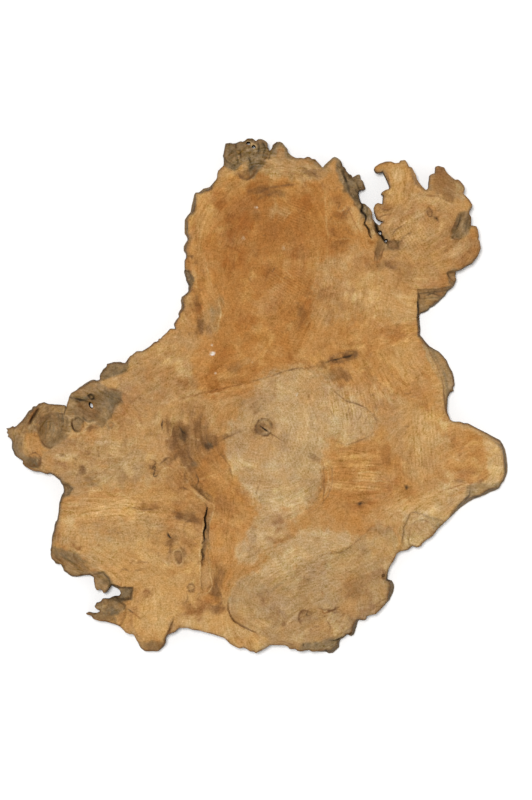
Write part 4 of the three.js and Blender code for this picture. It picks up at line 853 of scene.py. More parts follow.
# The grain's strength along the rings, and where it leaves them: the middle, the half sizes, the direction in
# degrees and the strength
RING_GRAIN = 0.6
GRAIN = (
    (270, 250, 50, 60, 75, 0.35), (268, 330, 50, 36, 60, 0.4), (215, 392, 50, 14, 14, 0.9),
    (386, 334, 44, 16, 18, 1), (354, 480, 36, 36, 2, 1), (424, 440, 15, 42, 94, 1),
    (400, 380, 26, 26, 130, 0.9), (372, 300, 26, 36, 80, 0.6), (120, 510, 74, 22, 3, 0.9),
    (110, 570, 60, 26, -28, 0.8), (150, 610, 34, 34, 75, 0.6), (226, 520, 18, 70, 84, 0.7),
    (300, 590, 60, 46, 38, 0.6), (350, 566, 50, 26, 30, 0.7), (255, 612, 24, 24, -30, 0.6),
    (422, 232, 44, 34, 40, 0.8), (400, 182, 18, 24, 82, 0.8), (462, 452, 36, 28, 20, 0.6),
    (430, 504, 40, 16, 28, 0.8), (160, 372, 44, 30, 30, 0.6), (100, 456, 60, 30, 8, 0.6),
    (200, 612, 26, 20, 10, 0.5), (290, 428, 44, 44, 75, 0.4), (340, 400, 22, 18, 100, 0.8),
    (296, 168, 36, 12, -8, 0.8),
)

# Wood with a golden speckle: the middle, the half sizes and the strength
SPECKLED = (
    (322, 272, 34, 32, 1), (262, 300, 50, 40, 0.45), (130, 520, 76, 40, 0.8), (110, 580, 50, 36, 0.8),
    (160, 610, 44, 34, 0.8), (300, 385, 60, 30, 0.6), (90, 460, 50, 30, 0.7), (430, 240, 50, 50, 0.5),
    (190, 350, 44, 40, 0.7), (200, 220, 22, 60, 0.4),
)


def plan(pixels):
    """Pixels of the picture, counted right and down, as metres from the middle of the slice."""
    offset = (np.asarray(pixels, float) - PICTURE_MIDDLE) * METRES_PER_PIXEL
    return offset * (1, -1)


def picture(points):
    """Metres from the middle of the slice as pixels of the picture."""
    return points[:, :2] * (1, -1) / METRES_PER_PIXEL + PICTURE_MIDDLE


def pairs(numbers):
    """Points across and down from a flat row of numbers."""
    return np.reshape(numbers, (-1, 2)).astype(float)


def smooth(share):
    """Nothing below 0, all above 1, and the curve 3t^2 - 2t^3 between them."""
    share = np.clip(share, 0, 1)
    return share * share * (3 - 2 * share)


def noise(points, size, seed):
    """Smooth random values from -1 to 1: numbers on a lattice of the given size, blended between its
    corners."""
    values = np.random.default_rng(seed).uniform(-1, 1, NOISE_VALUES)
    primes = np.array(NOISE_PRIMES)[: points.shape[1]]
    place = points / size
    corner = np.floor(place).astype(np.int64)
    share = smooth(place - corner)
    total = np.zeros(len(points))
    for code in range(2 ** points.shape[1]):
        step = np.array([(code >> axis) & 1 for axis in range(points.shape[1])])
        weight = np.prod(np.where(step, share, 1 - share), axis=1)
        hashed = np.bitwise_xor.reduce((corner + step) * primes, axis=1) & (NOISE_VALUES - 1)
        total += weight * values[hashed]
    return total


def rough(points, size, seed, layers=3):
    """Layers of noise, each half the size of the one before and weaker, scaled to about -1 to 1."""
    weights = LAYER_SHARE ** np.arange(layers)
    total = sum(w * noise(points, size / 2**i, seed + LAYER_SEED * i) for i, w in enumerate(weights))
    return LAYER_SCALE * total / weights.sum()


def shifts(kind, spots, size, seed, *layers):
    """A random shift across and down for every spot, from two noises of one kind with seeds in a row."""
    return np.stack([kind(spots, size, seed + axis, *layers) for axis in (0, 1)], axis=1)


def curve(path, step=1.5):
    """A smooth line through the points of a path, in short steps: each stretch is the cubic
    that leaves a point along the line between its two neighbours."""
    path = np.asarray(path, float)
    if len(path) < 3:
        return path
    before = np.vstack([2 * path[0] - path[1], path[:-1]])
    after = np.vstack([path[1:], 2 * path[-1] - path[-2]])
    slope = (after - before) / 2
    pieces = []
    for start, end, leave, arrive in zip(path[:-1], path[1:], slope[:-1], slope[1:]):
        count = max(2, int(np.ceil(np.linalg.norm(end - start) / step)))
        t = (np.arange(count) / count)[:, None]
        pieces.append(
            (2 * t**3 - 3 * t**2 + 1) * start + (t**3 - 2 * t**2 + t) * leave
            + (3 * t**2 - 2 * t**3) * end + (t**3 - t**2) * arrive
        )
    return np.vstack([*pieces, path[-1:]])


def nearest(spots, path):
    """Distance from every spot to a path of straight stretches, and the share of its length reached there."""
    starts, steps = path[:-1], np.diff(path, axis=0)
    lengths = np.maximum(np.hypot(*steps.T), TINY)
    reached = np.concatenate([[0], np.cumsum(lengths)])
    distance, share = np.empty(len(spots)), np.empty(len(spots))
    chunk = max(1, CHUNK // len(steps))
    for first in range(0, len(spots), chunk):
        some = slice(first, first + chunk)
        offset = spots[some, None] - starts
        along = np.clip((offset * steps).sum(2) / lengths**2, 0, 1)
        apart = np.hypot(*np.moveaxis(offset - along[..., None] * steps, 2, 0))
        best = apart.argmin(1)
        row = np.arange(len(best))
        distance[some] = apart[row, best]
        share[some] = (reached[best] + along[row, best] * lengths[best]) / reached[-1]
    return distance, share


def inside(spots, loop):
    """True where a line to the right from the spot crosses the loop an odd number of times."""
    x0, y0 = loop.T
    x1, y1 = np.roll(loop, -1, axis=0).T
    rise = np.where(y1 == y0, 1, y1 - y0)
    result = np.empty(len(spots), bool)
    chunk = max(1, CHUNK // len(loop))
    for first in range(0, len(spots), chunk):
        x, y = spots[first:first + chunk].T[..., None]
        crossed = ((y0 > y) != (y1 > y)) & (x < x0 + (y - y0) * (x1 - x0) / rise)
        result[first:first + chunk] = crossed.sum(1) % 2 == 1
    return result


def near(spots, shape, reach):
    """Which spots lie in the box round a shape, widened by reach."""
    shape = np.asarray(shape, float)
    return np.all((spots > shape.min(0) - reach) & (spots < shape.max(0) + reach), axis=1)


def depth_inside(spots, loop):
    """Distance to a loop's line, above 0 inside the loop and below 0 outside."""
    loop = np.asarray(loop, float)
    distance, _ = nearest(spots, np.vstack([loop, loop[:1]]))
    return np.where(inside(spots, loop), distance, -distance)


def distance_within(spots, segments, reach):
    """Distance from every spot to the nearest of many short segments, or reach where none is as near.
    The spots are taken in square tiles, each with the segments close to it."""
    starts, ends = segments
    lowest, highest = np.minimum(starts, ends), np.maximum(starts, ends)
    result = np.full(len(spots), float(reach))
    size = TILE_REACHES * reach
    tiles = np.floor(spots / size).astype(int)
    order = np.lexsort(tiles.T)
    breaks = np.flatnonzero(np.any(np.diff(tiles[order], axis=0), axis=1)) + 1
    for own in np.split(order, breaks):
        low = tiles[own[0]] * size
        close = np.all((highest > low - reach) & (lowest < low + size + reach), axis=1)
        if not close.any():
            continue
        start, step = starts[close], ends[close] - starts[close]
        offset = spots[own, None] - start
        along = np.clip((offset * step).sum(2) / np.maximum((step * step).sum(1), TINY), 0, 1)
        apart = np.hypot(*np.moveaxis(offset - along[..., None] * step, 2, 0)).min(1)
        result[own] = np.minimum(result[own], apart)
    return result


def oval_radius(spots, at, half, turn):
    """Distance from an oval's middle in its own sizes: 1 on the oval."""
    angle = np.radians(turn)
    right, up = (spots - at).T * ((1,), (-1,))
    along = right * np.cos(angle) + up * np.sin(angle)
    across = up * np.cos(angle) - right * np.sin(angle)
    return np.hypot(along / half[0], across / half[1])


def oval(at, half, turn, grow, sides):
    """Points round an oval, in pixels."""
    angle = np.radians(turn)
    step = np.arange(sides) * 2 * np.pi / sides
    right, up = np.cos(step) * half[0] * grow, np.sin(step) * half[1] * grow
    return np.stack([
        at[0] + right * np.cos(angle) - up * np.sin(angle),
        at[1] - right * np.sin(angle) - up * np.cos(angle),
    ], axis=1)


def frame_rim():
    """The slab's widest line: the model's points at that height, joined into a loop by its edges."""
    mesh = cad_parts[NODE].data
    points = np.empty(len(mesh.vertices) * 3)
    mesh.vertices.foreach_get("co", points)
    edges = np.empty(len(mesh.edges) * 2, int)
    mesh.edges.foreach_get("vertices", edges)
    points = points.reshape(-1, 3)
    keys, merged = np.unique(np.round(points * MICRONS).astype(int), axis=0, return_inverse=True)
    level = np.abs(keys[:, 2] - WALL_WIDEST * THICKNESS * MICRONS) < RIM_LEVEL_SLACK
    joined = merged.ravel()[edges].reshape(-1, 2)
    joined = joined[level[joined].all(1) & (joined[:, 0] != joined[:, 1])]
    neighbours = {}
    for a, b in np.unique(np.sort(joined, axis=1), axis=0).tolist():
        neighbours.setdefault(a, []).append(b)
        neighbours.setdefault(b, []).append(a)
    loops = []
    while neighbours:
        loop = [next(iter(neighbours))]
        while loop[-1] in neighbours:
            options = [n for n in neighbours.pop(loop[-1]) if n in neighbours]
            if not options:
                break
            loop.append(options[0])
        loops.append(loop)
    longest = max(loops, key=len)
    rim = picture(keys[longest, :2] / MICRONS)
    x, y = rim.T
    area = (x * np.roll(y, -1) - y * np.roll(x, -1)).sum()
    return rim if area < 0 else rim[::-1]


def crust(spots):
    """How weathered the wood is, from 0 to 1: the outlines of the grey crusts with a ragged border."""
    ragged = spots + CRUST_WANDER * shifts(rough, spots, 7, 301)
    grey = np.zeros(len(spots))
    for _, cover, outline in CRUSTS:
        outline = pairs(outline)
        own = near(spots, outline, 2 * CRUST_SOFTNESS)
        inner = depth_inside(ragged[own], outline) / CRUST_SOFTNESS + 0.5
        grey[own] = np.maximum(grey[own], cover * smooth(inner))
    return grey


def rim_stations():
    """The rim in even steps, with small notches across it that are deepest where the wood is weathered."""
    corners = frame_rim()
    closed = np.vstack([corners, corners[:1]])
    reached = np.concatenate([[0], np.cumsum(np.hypot(*np.diff(closed, axis=0).T))])
    count = int(reached[-1] / RIM_STEP)
    at = np.arange(count) * reached[-1] / count
    rim = np.stack([np.interp(at, reached, closed[:, axis]) for axis in (0, 1)], axis=1)
    tangent = np.roll(rim, -1, axis=0) - np.roll(rim, 1, axis=0)
    normal = np.stack([-tangent[:, 1], tangent[:, 0]], axis=1) / np.hypot(*tangent.T)[:, None]
    size = TOOTH_SOUND + TOOTH_WEATHERED * crust(rim)
    jag = size * (0.7 * noise(rim, 5, 401) + 0.6 * noise(rim, 2.4, 402))
    return rim + normal * jag[:, None]


def outward_directions(rim):
    """Outward direction at each station: the normals of the rim nearby, averaged by nearness.
    In a narrow slot the two sides cancel, so a rim moved along them doesn't cross itself."""
    following = np.roll(rim, -1, axis=0)
    step = following - rim
    middle, length = (rim + following) / 2, np.hypot(*step.T)
    normal = np.stack([-step[:, 1], step[:, 0]], axis=1)
    apart = ((rim[:, None] - middle) ** 2).sum(2)
    weight = np.exp(-apart / (2 * (RIM_REACH / METRES_PER_PIXEL) ** 2))
    return weight @ normal / (weight @ length)[:, None]


def face_lean(rim):
    """How far the face's edge stays inside the widest line, in metres."""
    x, y, reach, out = np.array(LEANS).T
    close = np.exp(-((rim[:, :1] - x) ** 2 + (rim[:, 1:] - y) ** 2) / (2 * reach**2))
    return FACE_INSET + (out * close).max(1) * METRES_PER_PIXEL


def wall_inset(rim, grey, lean, height):
    """Distance of the wall inside the widest line at a height: the lean towards the face, the tuck
    towards the back, lumps between the two and upright flutes, which are deeper in weathered wood."""
    share = height / THICKNESS
    up = np.clip((share - WALL_WIDEST) / (1 - WALL_WIDEST), 0, 1)
    down = np.clip(1 - share / WALL_WIDEST, 0, 1)
    place = np.column_stack([rim, height / METRES_PER_PIXEL])
    lumps = 0.5 + 0.5 * rough(place, WALL_LUMP, 411)
    flutes = 0.5 + 0.5 * noise(place * FLUTE_STRETCH, WALL_FLUTE, 412)
    depth = WALL_ROUGHNESS * lumps + (FLUTE_SOUND + FLUTE_WEATHERED * grey) * MM * flutes
    return lean * up**LEAN_BEND + BACK_INSET * down + depth * np.sin(np.pi * up)


def wobble(spots):
    """A small random shift of every spot, which makes straight cuts ragged."""
    return shifts(noise, spots, WOBBLE_SIZE, 501)


def broad_depth(spots):
    """Depth of flanks and hollows below the sawn face, in metres. A flank's depth grows with the share of the
    way from its inner to its outer line, a hollow's from its rim to its floor."""
    depth = np.zeros(len(spots))
    ragged = spots + BROAD_WOBBLE * wobble(spots)
    for index, (low, crown, inner, outer) in enumerate(FLANKS.values()):
        inner, outer = curve(pairs(inner)), curve(pairs(outer))
        outline = np.vstack([inner, outer[::-1]])
        own = np.flatnonzero(near(spots, outline, 1))
        own = own[inside(ragged[own], outline)]
        from_inner, _ = nearest(ragged[own], inner)
        from_outer, _ = nearest(ragged[own], outer)
        share = from_inner / np.maximum(from_inner + from_outer, TINY)
        lumps = FLANK_ROUGHNESS * share * (0.4 + rough(spots[own], FLANK_LUMP, 520 + index, 4))
        slope = FLANK_STEP + (low * MM - FLANK_STEP) * share**crown
        depth[own] = np.maximum(depth[own], slope + lumps)
    for index, (low, floor, loop) in enumerate(HOLLOWS.values()):
        loop = pairs(loop)
        own = near(spots, loop, 2)
        wall = (1 - floor) * np.hypot(*(loop - loop.mean(0)).T).mean()
        share = np.clip(depth_inside(ragged[own], loop) / wall, 0, 1)
        uneven = 1 + HOLLOW_ROUGHNESS * rough(spots[own], HOLLOW_LUMP, 560 + index, 4)
        depth[own] = np.maximum(depth[own], low * MM * (1 - (1 - share) ** HOLLOW_ROUNDING) * uneven)
    return depth


def crack_depth(spots):
    """Depth of cracks and pits, in metres: a V across a crack's path that opens towards its middle, and a
    bowl."""
    depth = np.zeros(len(spots))
    for width, low, path in CRACKS.values():
        path = pairs(path)
        own = near(spots, path, width)
        distance, share = nearest(spots[own] + CRACK_WOBBLE * wobble(spots[own]), curve(path))
        open_here = np.maximum(CRACK_END, np.sqrt(np.sin(np.pi * np.clip(share, 0, 1))))
        wedge = low * MM * open_here * (1 - distance / (0.5 * width * open_here))
        depth[own] = np.maximum(depth[own], wedge)
    for x, y, *half, turn, low in PITS.values():
        own = near(spots, [(x, y)], max(half) + 1)
        radius = oval_radius(spots[own], (x, y), half, turn)
        depth[own] = np.maximum(depth[own], low * MM * np.clip((1 - radius) / (1 - PIT_FLOOR), 0, 1))
    return depth


def cut_depth(spots):
    """Depth of the surface below the sawn face: the deepest cut, the crust's roughness and a slight
    unevenness."""
    crumb, *crumbs = CRUMBS
    split, *splits = CRUST_CRACKS
    broad, *swells = BROAD_WAVES
    fine, *ripples = FINE_WAVES
    crumble = crumb * (1 + rough(spots, *crumbs, 4)) + split * np.abs(noise(spots, *splits))
    uneven = broad * MM * (1 + rough(spots, *swells)) + fine * MM * (1 + noise(spots, *ripples))
    return np.maximum(broad_depth(spots), crack_depth(spots)) + crust(spots) * crumble * MM + uneven


def hex_grid(low, high, spacing):
    """Points of a grid of even triangles over a box."""
    x = np.arange(low[0], high[0], spacing)
    y = np.arange(low[1], high[1], spacing * np.sqrt(0.75))
    across, down = np.meshgrid(x, y)
    across = across + (np.arange(len(y)) % 2)[:, None] * spacing / 2
    return np.stack([across.ravel(), down.ravel()], axis=1)


def segments_of(loops, closed):
    """Start and end points of every stretch of several loops or open paths."""
    starts = [loop if closed else loop[:-1] for loop in loops]
    ends = [np.roll(loop, -1, axis=0) if closed else loop[1:] for loop in loops]
    return np.vstack(starts), np.vstack(ends)


def fill(loops, spots):
    """Triangles over an outline with holes: every point of a loop and every spot is a corner, and what lies
    in a hole is left out."""
    points = np.vstack([*loops, spots])
    counts = np.cumsum([0] + [len(loop) for loop in loops])
    rings = [list(range(counts[i], counts[i + 1])) for i in range(len(loops))]
    edges = [(a, b) for ring in rings[1:] for a, b in zip(ring, ring[1:] + ring[:1])]
    flipped = points * (1, -1)
    corners = [Vector(p) for p in flipped.tolist()]
    found = delaunay_2d_cdt(corners, edges, rings[:1], INSIDE_ONLY, MERGE_DISTANCE, False)
    if len(found[0]) != len(points):
        raise RuntimeError(f"the outline crosses itself: {len(found[0]) - len(points)} points were added")
    triangles = np.array(found[2])
    doubtful = np.flatnonzero((triangles < counts[-1]).all(1))
    middle = points[triangles[doubtful]].mean(1)
    kept = inside(middle, loops[0])
    for loop in loops[1:]:
        kept &= ~inside(middle, loop)
    triangles = np.delete(triangles, doubtful[~kept], axis=0)
    a, b, c = np.moveaxis(flipped[triangles], 1, 0)
    turned = (b[:, 0] - a[:, 0]) * (c[:, 1] - a[:, 1]) < (b[:, 1] - a[:, 1]) * (c[:, 0] - a[:, 0])
    triangles[turned] = triangles[turned][:, ::-1]
    return points, triangles


def face_spots(edge, holes):
    """Points inside the face's edge: close together near lines, a little wider near the rim and the cuts,
    and widest on plain wood. None lies too near a loop."""
    low, high = edge.min(0), edge.max(0)
    loops = segments_of([edge, *holes], True)
    lips = segments_of([pairs(loop) for _, _, loop in HOLLOWS.values()], True)
    slopes = segments_of([curve(pairs(inner)) for _, _, inner, _ in FLANKS.values()], False)
    edges = tuple(np.vstack(ends) for ends in zip(loops, lips, slopes))
    fine = [path for path, half, _, cover in drawn_lines() if half <= FINE_HALF and cover >= FINE_COVER]
    cracks = [pairs(path) for _, _, path in CRACKS.values()]
    lines = segments_of([curve(path) for path in fine + cracks], False)
    taken, spots = [], []
    for spacing, band, segments in ((LINE_SPACING, LINE_BAND, lines), (EDGE_SPACING, EDGE_BAND, edges)):
        some = hex_grid(low, high, spacing)
        some = some[distance_within(some, segments, band + 1) < band]
        for before, reach in taken:
            some = some[distance_within(some, before, reach + 1) > reach + BAND_GAP * spacing]
        spots.append(some[distance_within(some, loops, 2) > LOOP_MARGIN * spacing])
        taken.append((segments, band))
    plain = hex_grid(low, high, PLAIN_SPACING)
    for before, reach in taken:
        plain = plain[distance_within(plain, before, reach + 2) > reach + PLAIN_GAP * PLAIN_SPACING]
    spots = np.vstack([*spots, plain])
    spots = spots[inside(spots, edge)]
    for hole in holes:
        spots = spots[~inside(spots, hole)]
    return spots


def growth(spots):
    """Ring coordinate and outward ray: the distance from the nearest growth centre, stretched to its ring's
    shape, where two families of rings run together over a short way."""
    distances, rays = [], []
    for x, y, *stretch in GROWTH:
        offset = (spots - (x, y)) * stretch
        away = np.hypot(*offset.T)
        distances.append(away)
        rays.append(offset / np.maximum(away, TINY)[:, None])
    shortest = np.min(distances, axis=0)
    weight = np.exp(-(np.array(distances) - shortest) / GROWTH_BLEND)
    ring = shortest - GROWTH_BLEND * np.log(weight.sum(0))
    return ring, np.einsum("kn,knd->nd", weight / weight.sum(0), np.array(rays))


def drawn_noise(spots, grain, width, length, seed):
    """Noise of the given width, averaged along the grain over the given length, which draws it out into
    streaks, and scaled to a spread of 1."""
    angle = np.arctan2(grain[:, 1], grain[:, 0]) / 2
    step = np.stack([np.cos(angle), -np.sin(angle)], axis=1)
    stations = np.arange(-length / 2, length / 2, 0.8 * width)
    total = sum(noise(spots + along * step, width, seed) for along in stations)
    return total / total.std()


def by_tone(table):
    """The rows of a table that is sorted by tone, one by one, each behind its tone."""
    return [(tone, *row) for tone, rows in table.items() for row in rows]


def drawn_lines():
    """The fine lines of the table, one by one: path, half width in pixels, tone and cover as a share."""
    rows = by_tone(LINES)
    return [(pairs(path), half / TENTHS, tone, PERCENT * cover) for tone, half, cover, *path in rows]


def squiggles():
    """Short curved lines scattered over the areas where the wood is curly: each turns evenly as it goes on,
    and its half width, tone and cover are drawn by lot."""
    lines = []
    for x, y, *half, count, seed in SQUIGGLES:
        lot = np.random.default_rng(seed)
        starts = lot.normal(0, 0.5, (count, 2)) * half + (x, y)
        turns = lot.uniform(0, 2 * np.pi, count)
        bends = lot.uniform(-SQUIGGLE_BEND, SQUIGGLE_BEND, count)
        steps = lot.uniform(*SQUIGGLE_STEP, count)
        for start, turn, bend, step in zip(starts, turns, bends, steps):
            angles = turn + bend * np.arange(SQUIGGLE_STEPS)
            path = start + step * np.cumsum(np.stack([np.cos(angles), np.sin(angles)], axis=1), axis=0)
            half_width = lot.uniform(*SQUIGGLE_HALF)
            tone = SQUIGGLE_TONES[lot.integers(len(SQUIGGLE_TONES))]
            lines.append((path, half_width, tone, lot.uniform(*SQUIGGLE_COVER)))
    return lines


def paint(spots, depth, edge_distance, grain, tones):
    """Tone of the face at every spot, in sRGB: zones, then blots, crust, flecks and lines, each laid over the
    last with a border that wanders and is feathered along the grain, and painted shade that darkens the face
    where a crack or pit is deep."""
    wander = shifts(rough, spots, 22, 601, 4)
    ripple = shifts(noise, spots, 4, 603)
    loose, close, sharp = (spots + broad * wander + fine * ripple for broad, fine in WANDER.values())
    swirl = loose + 5 * shifts(rough, spots, 12, 607)
    streak = [drawn_noise(spots, grain, width, STREAK_SLENDERNESS * width, 605 + width)
              for width in STREAK_WIDTHS]
    feather = 0.25 * streak[0] + 0.25 * streak[1]
    stipple = noise(spots, 2, 609) + 0.6 * noise(spots, 4.5, 610)
    colour = np.tile(0.5 * tones["honey"] + 0.5 * tones["tan"], (len(spots), 1))
    everywhere = slice(None)

    def lay(own, tone, cover):
        colour[own] += cover[:, None] * (tones[tone] - colour[own])

    for _, tone, cover, soft, outline in ZONES:
        outline = pairs(outline)
        own = np.flatnonzero(near(spots, outline, soft + 6))
        source = loose if soft > LOOSE_ABOVE else close
        inner = depth_inside(source[own], outline) / soft + 0.5
        lay(own, tone, cover * smooth(inner + 0.3 * feather[own] + 0.3 * stipple[own]))
    for *shift, size, seed in FIGURES:
        figure = rough(swirl, size, seed, 4) + 0.4 * feather
        colour += smooth((figure - 0.05) / 0.8)[:, None] * shift
    flow = sum(share * one for share, one in zip(STREAK_SHARES, streak)) * grain[:, 2] ** 1.5
    colour += np.clip(flow, 0, STREAK_RANGE)[:, None] * STREAK_LIGHT
    colour += np.clip(flow, -STREAK_RANGE, 0)[:, None] * STREAK_DARK
    for tone, x, y, *half, turn, cover in by_tone(BLOTS):
        own = np.flatnonzero(near(spots, [(x, y)], 1.8 * max(half) + 4))
        radius = oval_radius((loose if min(half) > LOOSE_BLOT else close)[own], (x, y), half, turn)
        torn = 0.5 * rough(spots[own], 1.1 * min(half) + 2, 611, 4) + 0.4 * feather[own]
        full = BLOT_COVER * PERCENT * cover * np.clip(1 + torn, 0, 1.4)
        lay(own, tone, full * smooth(1.4 - radius + 0.8 * torn))

    grey = crust(spots)
    speck = rough(spots, 7, 620, 4)
    crust_tone = tones["ash"] + (tones["slate"] - tones["ash"]) * smooth(0.25 + 0.7 * speck)[:, None]
    crust_tone = crust_tone * (1 + 0.26 * rough(spots, 4, 621, 3))[:, None]
    brown = smooth(0.5 * rough(spots, 13, 622, 4) + 0.35 * streak[0])[:, None]
    crust_tone = crust_tone + 0.65 * brown * (tones["bark"] - crust_tone)
    colour += (CRUST_COVER * grey)[:, None] * (crust_tone - colour)
    for x, y, size, cover in FLECKS:
        own = np.flatnonzero(near(spots, [(x, y)], 2 * size))
        white = cover * smooth(1.5 - oval_radius(close[own], (x, y), (size, size), 0))
        colour[own] += white[:, None] * (1 - colour[own])
    band = smooth(1.2 - edge_distance / (2.6 + 1.6 * rough(spots, 12, 612)))
    lay(everywhere, "ash", RIM_COVER * band * (0.7 + 0.3 * speck))
    # painted shade: a thin dark brown line along the face's edge, where the wall below is in shade
    edge_shade = smooth(1.3 - edge_distance / 1.3)
    lay(everywhere, "umber", edge_shade * np.clip(0.55 + 0.5 * noise(spots, 7, 614), 0, 1))
    # fine fissures of the crust, painted near black: the shade inside them
    wide = smooth(1 - np.abs(rough(swirl, 5, 615, 3)) / 0.2)
    thin = smooth(1 - np.abs(rough(close, 3.2, 616, 2)) / 0.15)
    lay(everywhere, "char", FISSURE_COVER * np.clip(wide + thin, 0, 1) * grey)

    broken = 0.75 + 0.5 * noise(spots, 5, 613)
    for path, half, tone, cover in (*squiggles(), *drawn_lines()):
        own = np.flatnonzero(near(spots, path, half + 2))
        distance, share = nearest(sharp[own], curve(path))
        taper = np.sqrt(np.sin(np.pi * np.clip(share, 0.02, 0.98)))
        lay(own, tone, cover * taper * broken[own] * smooth(1.25 - distance / half))
    for tone, x, y, *half, turn, width, cover in by_tone(RINGS):
        own = np.flatnonzero(near(spots, [(x, y)], max(half) + 3))
        away = np.abs(oval_radius(sharp[own], (x, y), half, turn) - 1) * min(half)
        lay(own, tone, cover * broken[own] * smooth(1.25 - away / width))
    # painted shade: near black where a crack or pit is deep
    lay(everywhere, "char", CRACK_SHADE_COVER * smooth((depth - CRACK_SHADE_FROM) / CRACK_SHADE_OVER))
    return np.clip(colour, 0, 1)


def linear(colour):
    """sRGB values as the linear ones that a material reads."""
    return np.where(colour <= 0.04045, colour / 12.92, ((colour + 0.055) / 1.055) ** 2.4)


def grain_field(spots, ray):
    """The grain's run as the cosine and sine of twice its angle, which blend smoothly, and its strength:
    along the rings, and the patches' own way where they cover."""
    double = RING_GRAIN * np.stack([ray[:, 1] ** 2 - ray[:, 0] ** 2, 2 * ray[:, 0] * ray[:, 1]], axis=1)
    border = 0.2 * noise(spots, 20, 640)
    for x, y, *half, direction, strength in GRAIN:
        cover = smooth(1.45 - oval_radius(spots, (x, y), half, 0) + border)[:, None]
        angle = 2 * np.radians(direction)
        double = double * (1 - cover) + cover * strength * np.array((np.cos(angle), np.sin(angle)))
    return np.column_stack([double, np.hypot(*double.T)])


def saw_field(spots):
    """Phase and strength of the saw marks and the strength of the speckle. The phase counts the marks across
    their direction."""
    phase, strength = np.zeros((2, len(spots)))
    for x, y, *half, direction, spacing, amount in SAW_MARKS:
        cover = amount * smooth(1.6 - oval_radius(spots, (x, y), half, 0))
        angle = np.radians(direction)
        along = (spots - (x, y)) @ (np.cos(angle), -np.sin(angle)) / spacing
        own = cover > strength
        phase[own], strength[own] = along[own], cover[own]
    covers = [amount * smooth(1.5 - oval_radius(spots, (x, y), half, 0)) for x, y, *half, amount in SPECKLED]
    return np.stack([phase, strength, np.max(covers, axis=0)], axis=1)


def slice_surface():
    """The closed surface: its points, triangles and four-sided faces, the face's edge, and how many of the
    first points are the face's and how many after them the back's. Face, wall, holes and back share their
    loops."""
    rim = rim_stations()
    outward = outward_directions(rim)
    grey, lean = crust(rim), face_lean(rim)

    def station(height):
        return rim - outward * (wall_inset(rim, grey, lean, height) / METRES_PER_PIXEL)[:, None]

    top = np.full(len(rim), THICKNESS)
    for _ in range(EDGE_ROUNDS):
        top = np.maximum(THICKNESS - cut_depth(station(top)), LOWEST_EDGE)
    edge, back_edge = station(top), station(np.zeros(len(rim)))
    share = np.linspace(0, 1, HOLE_ROWS)[:, None, None]
    holes = []
    for x, y, *half, turn in HOLES.values():
        foot, mouth = (oval((x, y), half, turn, size, HOLE_SIDES) for size in HOLE_SIZES)
        height = (THICKNESS - cut_depth(mouth))[:, None]
        holes.append(np.concatenate([foot + (mouth - foot) * share, height * share], axis=2))
    feet, mouths = ([rows[end, :, :2] for rows in holes] for end in (0, -1))

    face, face_triangles = fill([edge, *mouths], face_spots(edge, mouths))
    face_height = THICKNESS - cut_depth(face)
    face_height[: len(rim)] = top
    grid = hex_grid(back_edge.min(0), back_edge.max(0), BACK_SPACING)
    loops = segments_of([back_edge, *feet], True)
    grid = grid[(distance_within(grid, loops, 2 * BACK_MARGIN) > BACK_MARGIN) & inside(grid, back_edge)]
    back, back_triangles = fill([back_edge, *feet], grid)
    points = [np.column_stack([face, face_height]), np.column_stack([back, np.zeros(len(back))])]
    quads = []

    def join(first, levels):
        """Joins a loop of the back to the face's loop above it through levels of points between the two."""
        ring = np.arange(len(levels[0]))
        total = sum(len(some) for some in points)
        between = [total + index * len(ring) + ring for index in range(len(levels))]
        rows = [len(face) + first + ring, *between, first + ring]
        points.extend(levels)
        quads.extend(strip(lower, upper) for lower, upper in zip(rows, rows[1:]))

    shares = smooth(np.linspace(0, 1, WALL_ROWS + 1)[1:-1] * (1 - 2 * ROW_MARGIN) + ROW_MARGIN)
    join(0, [np.column_stack([station(top * share), top * share]) for share in shares])
    for index, rows in enumerate(holes):
        join(len(rim) + index * HOLE_SIDES, rows[1:-1])
    triangles = np.vstack([face_triangles, back_triangles[:, ::-1] + len(face)])
    return np.vstack(points), triangles, np.vstack(quads), edge, len(face), len(back)


def strip(lower, upper):
    """Four-sided faces between two closed rows of equally many points."""
    return np.stack([lower, np.roll(lower, -1), np.roll(upper, -1), upper], axis=1)


def build_mesh(points, triangles, quads):
    """A mesh from points and faces, put in as whole arrays."""
    mesh = bpy.data.meshes.new("teak wood slice")
    loops = np.concatenate([triangles.ravel(), quads.ravel()])
    starts = np.concatenate([np.arange(len(triangles)) * 3, len(triangles) * 3 + np.arange(len(quads)) * 4])
    mesh.vertices.add(len(points))
    mesh.vertices.foreach_set("co", points.ravel())
    mesh.loops.add(len(loops))
    mesh.loops.foreach_set("vertex_index", loops)
    mesh.polygons.add(len(starts))
    mesh.polygons.foreach_set("loop_start", starts)
    mesh.update(calc_edges=True)
    mesh.validate()
    mesh.shade_smooth()
    mesh.set_sharp_from_angle(angle=np.radians(SHARP_DEGREES))
    return mesh


def keep(mesh, name, values):
    """Stores a number, vector or colour for each point under a name that the finish reads."""
    kind, field = {1: ("FLOAT", "value"), 3: ("FLOAT_VECTOR", "vector"), 4: ("FLOAT_COLOR", "color")}[
        1 if values.ndim == 1 else values.shape[1]]
    mesh.attributes.new(name, kind, "POINT").data.foreach_set(field, values.astype(np.float32).ravel())


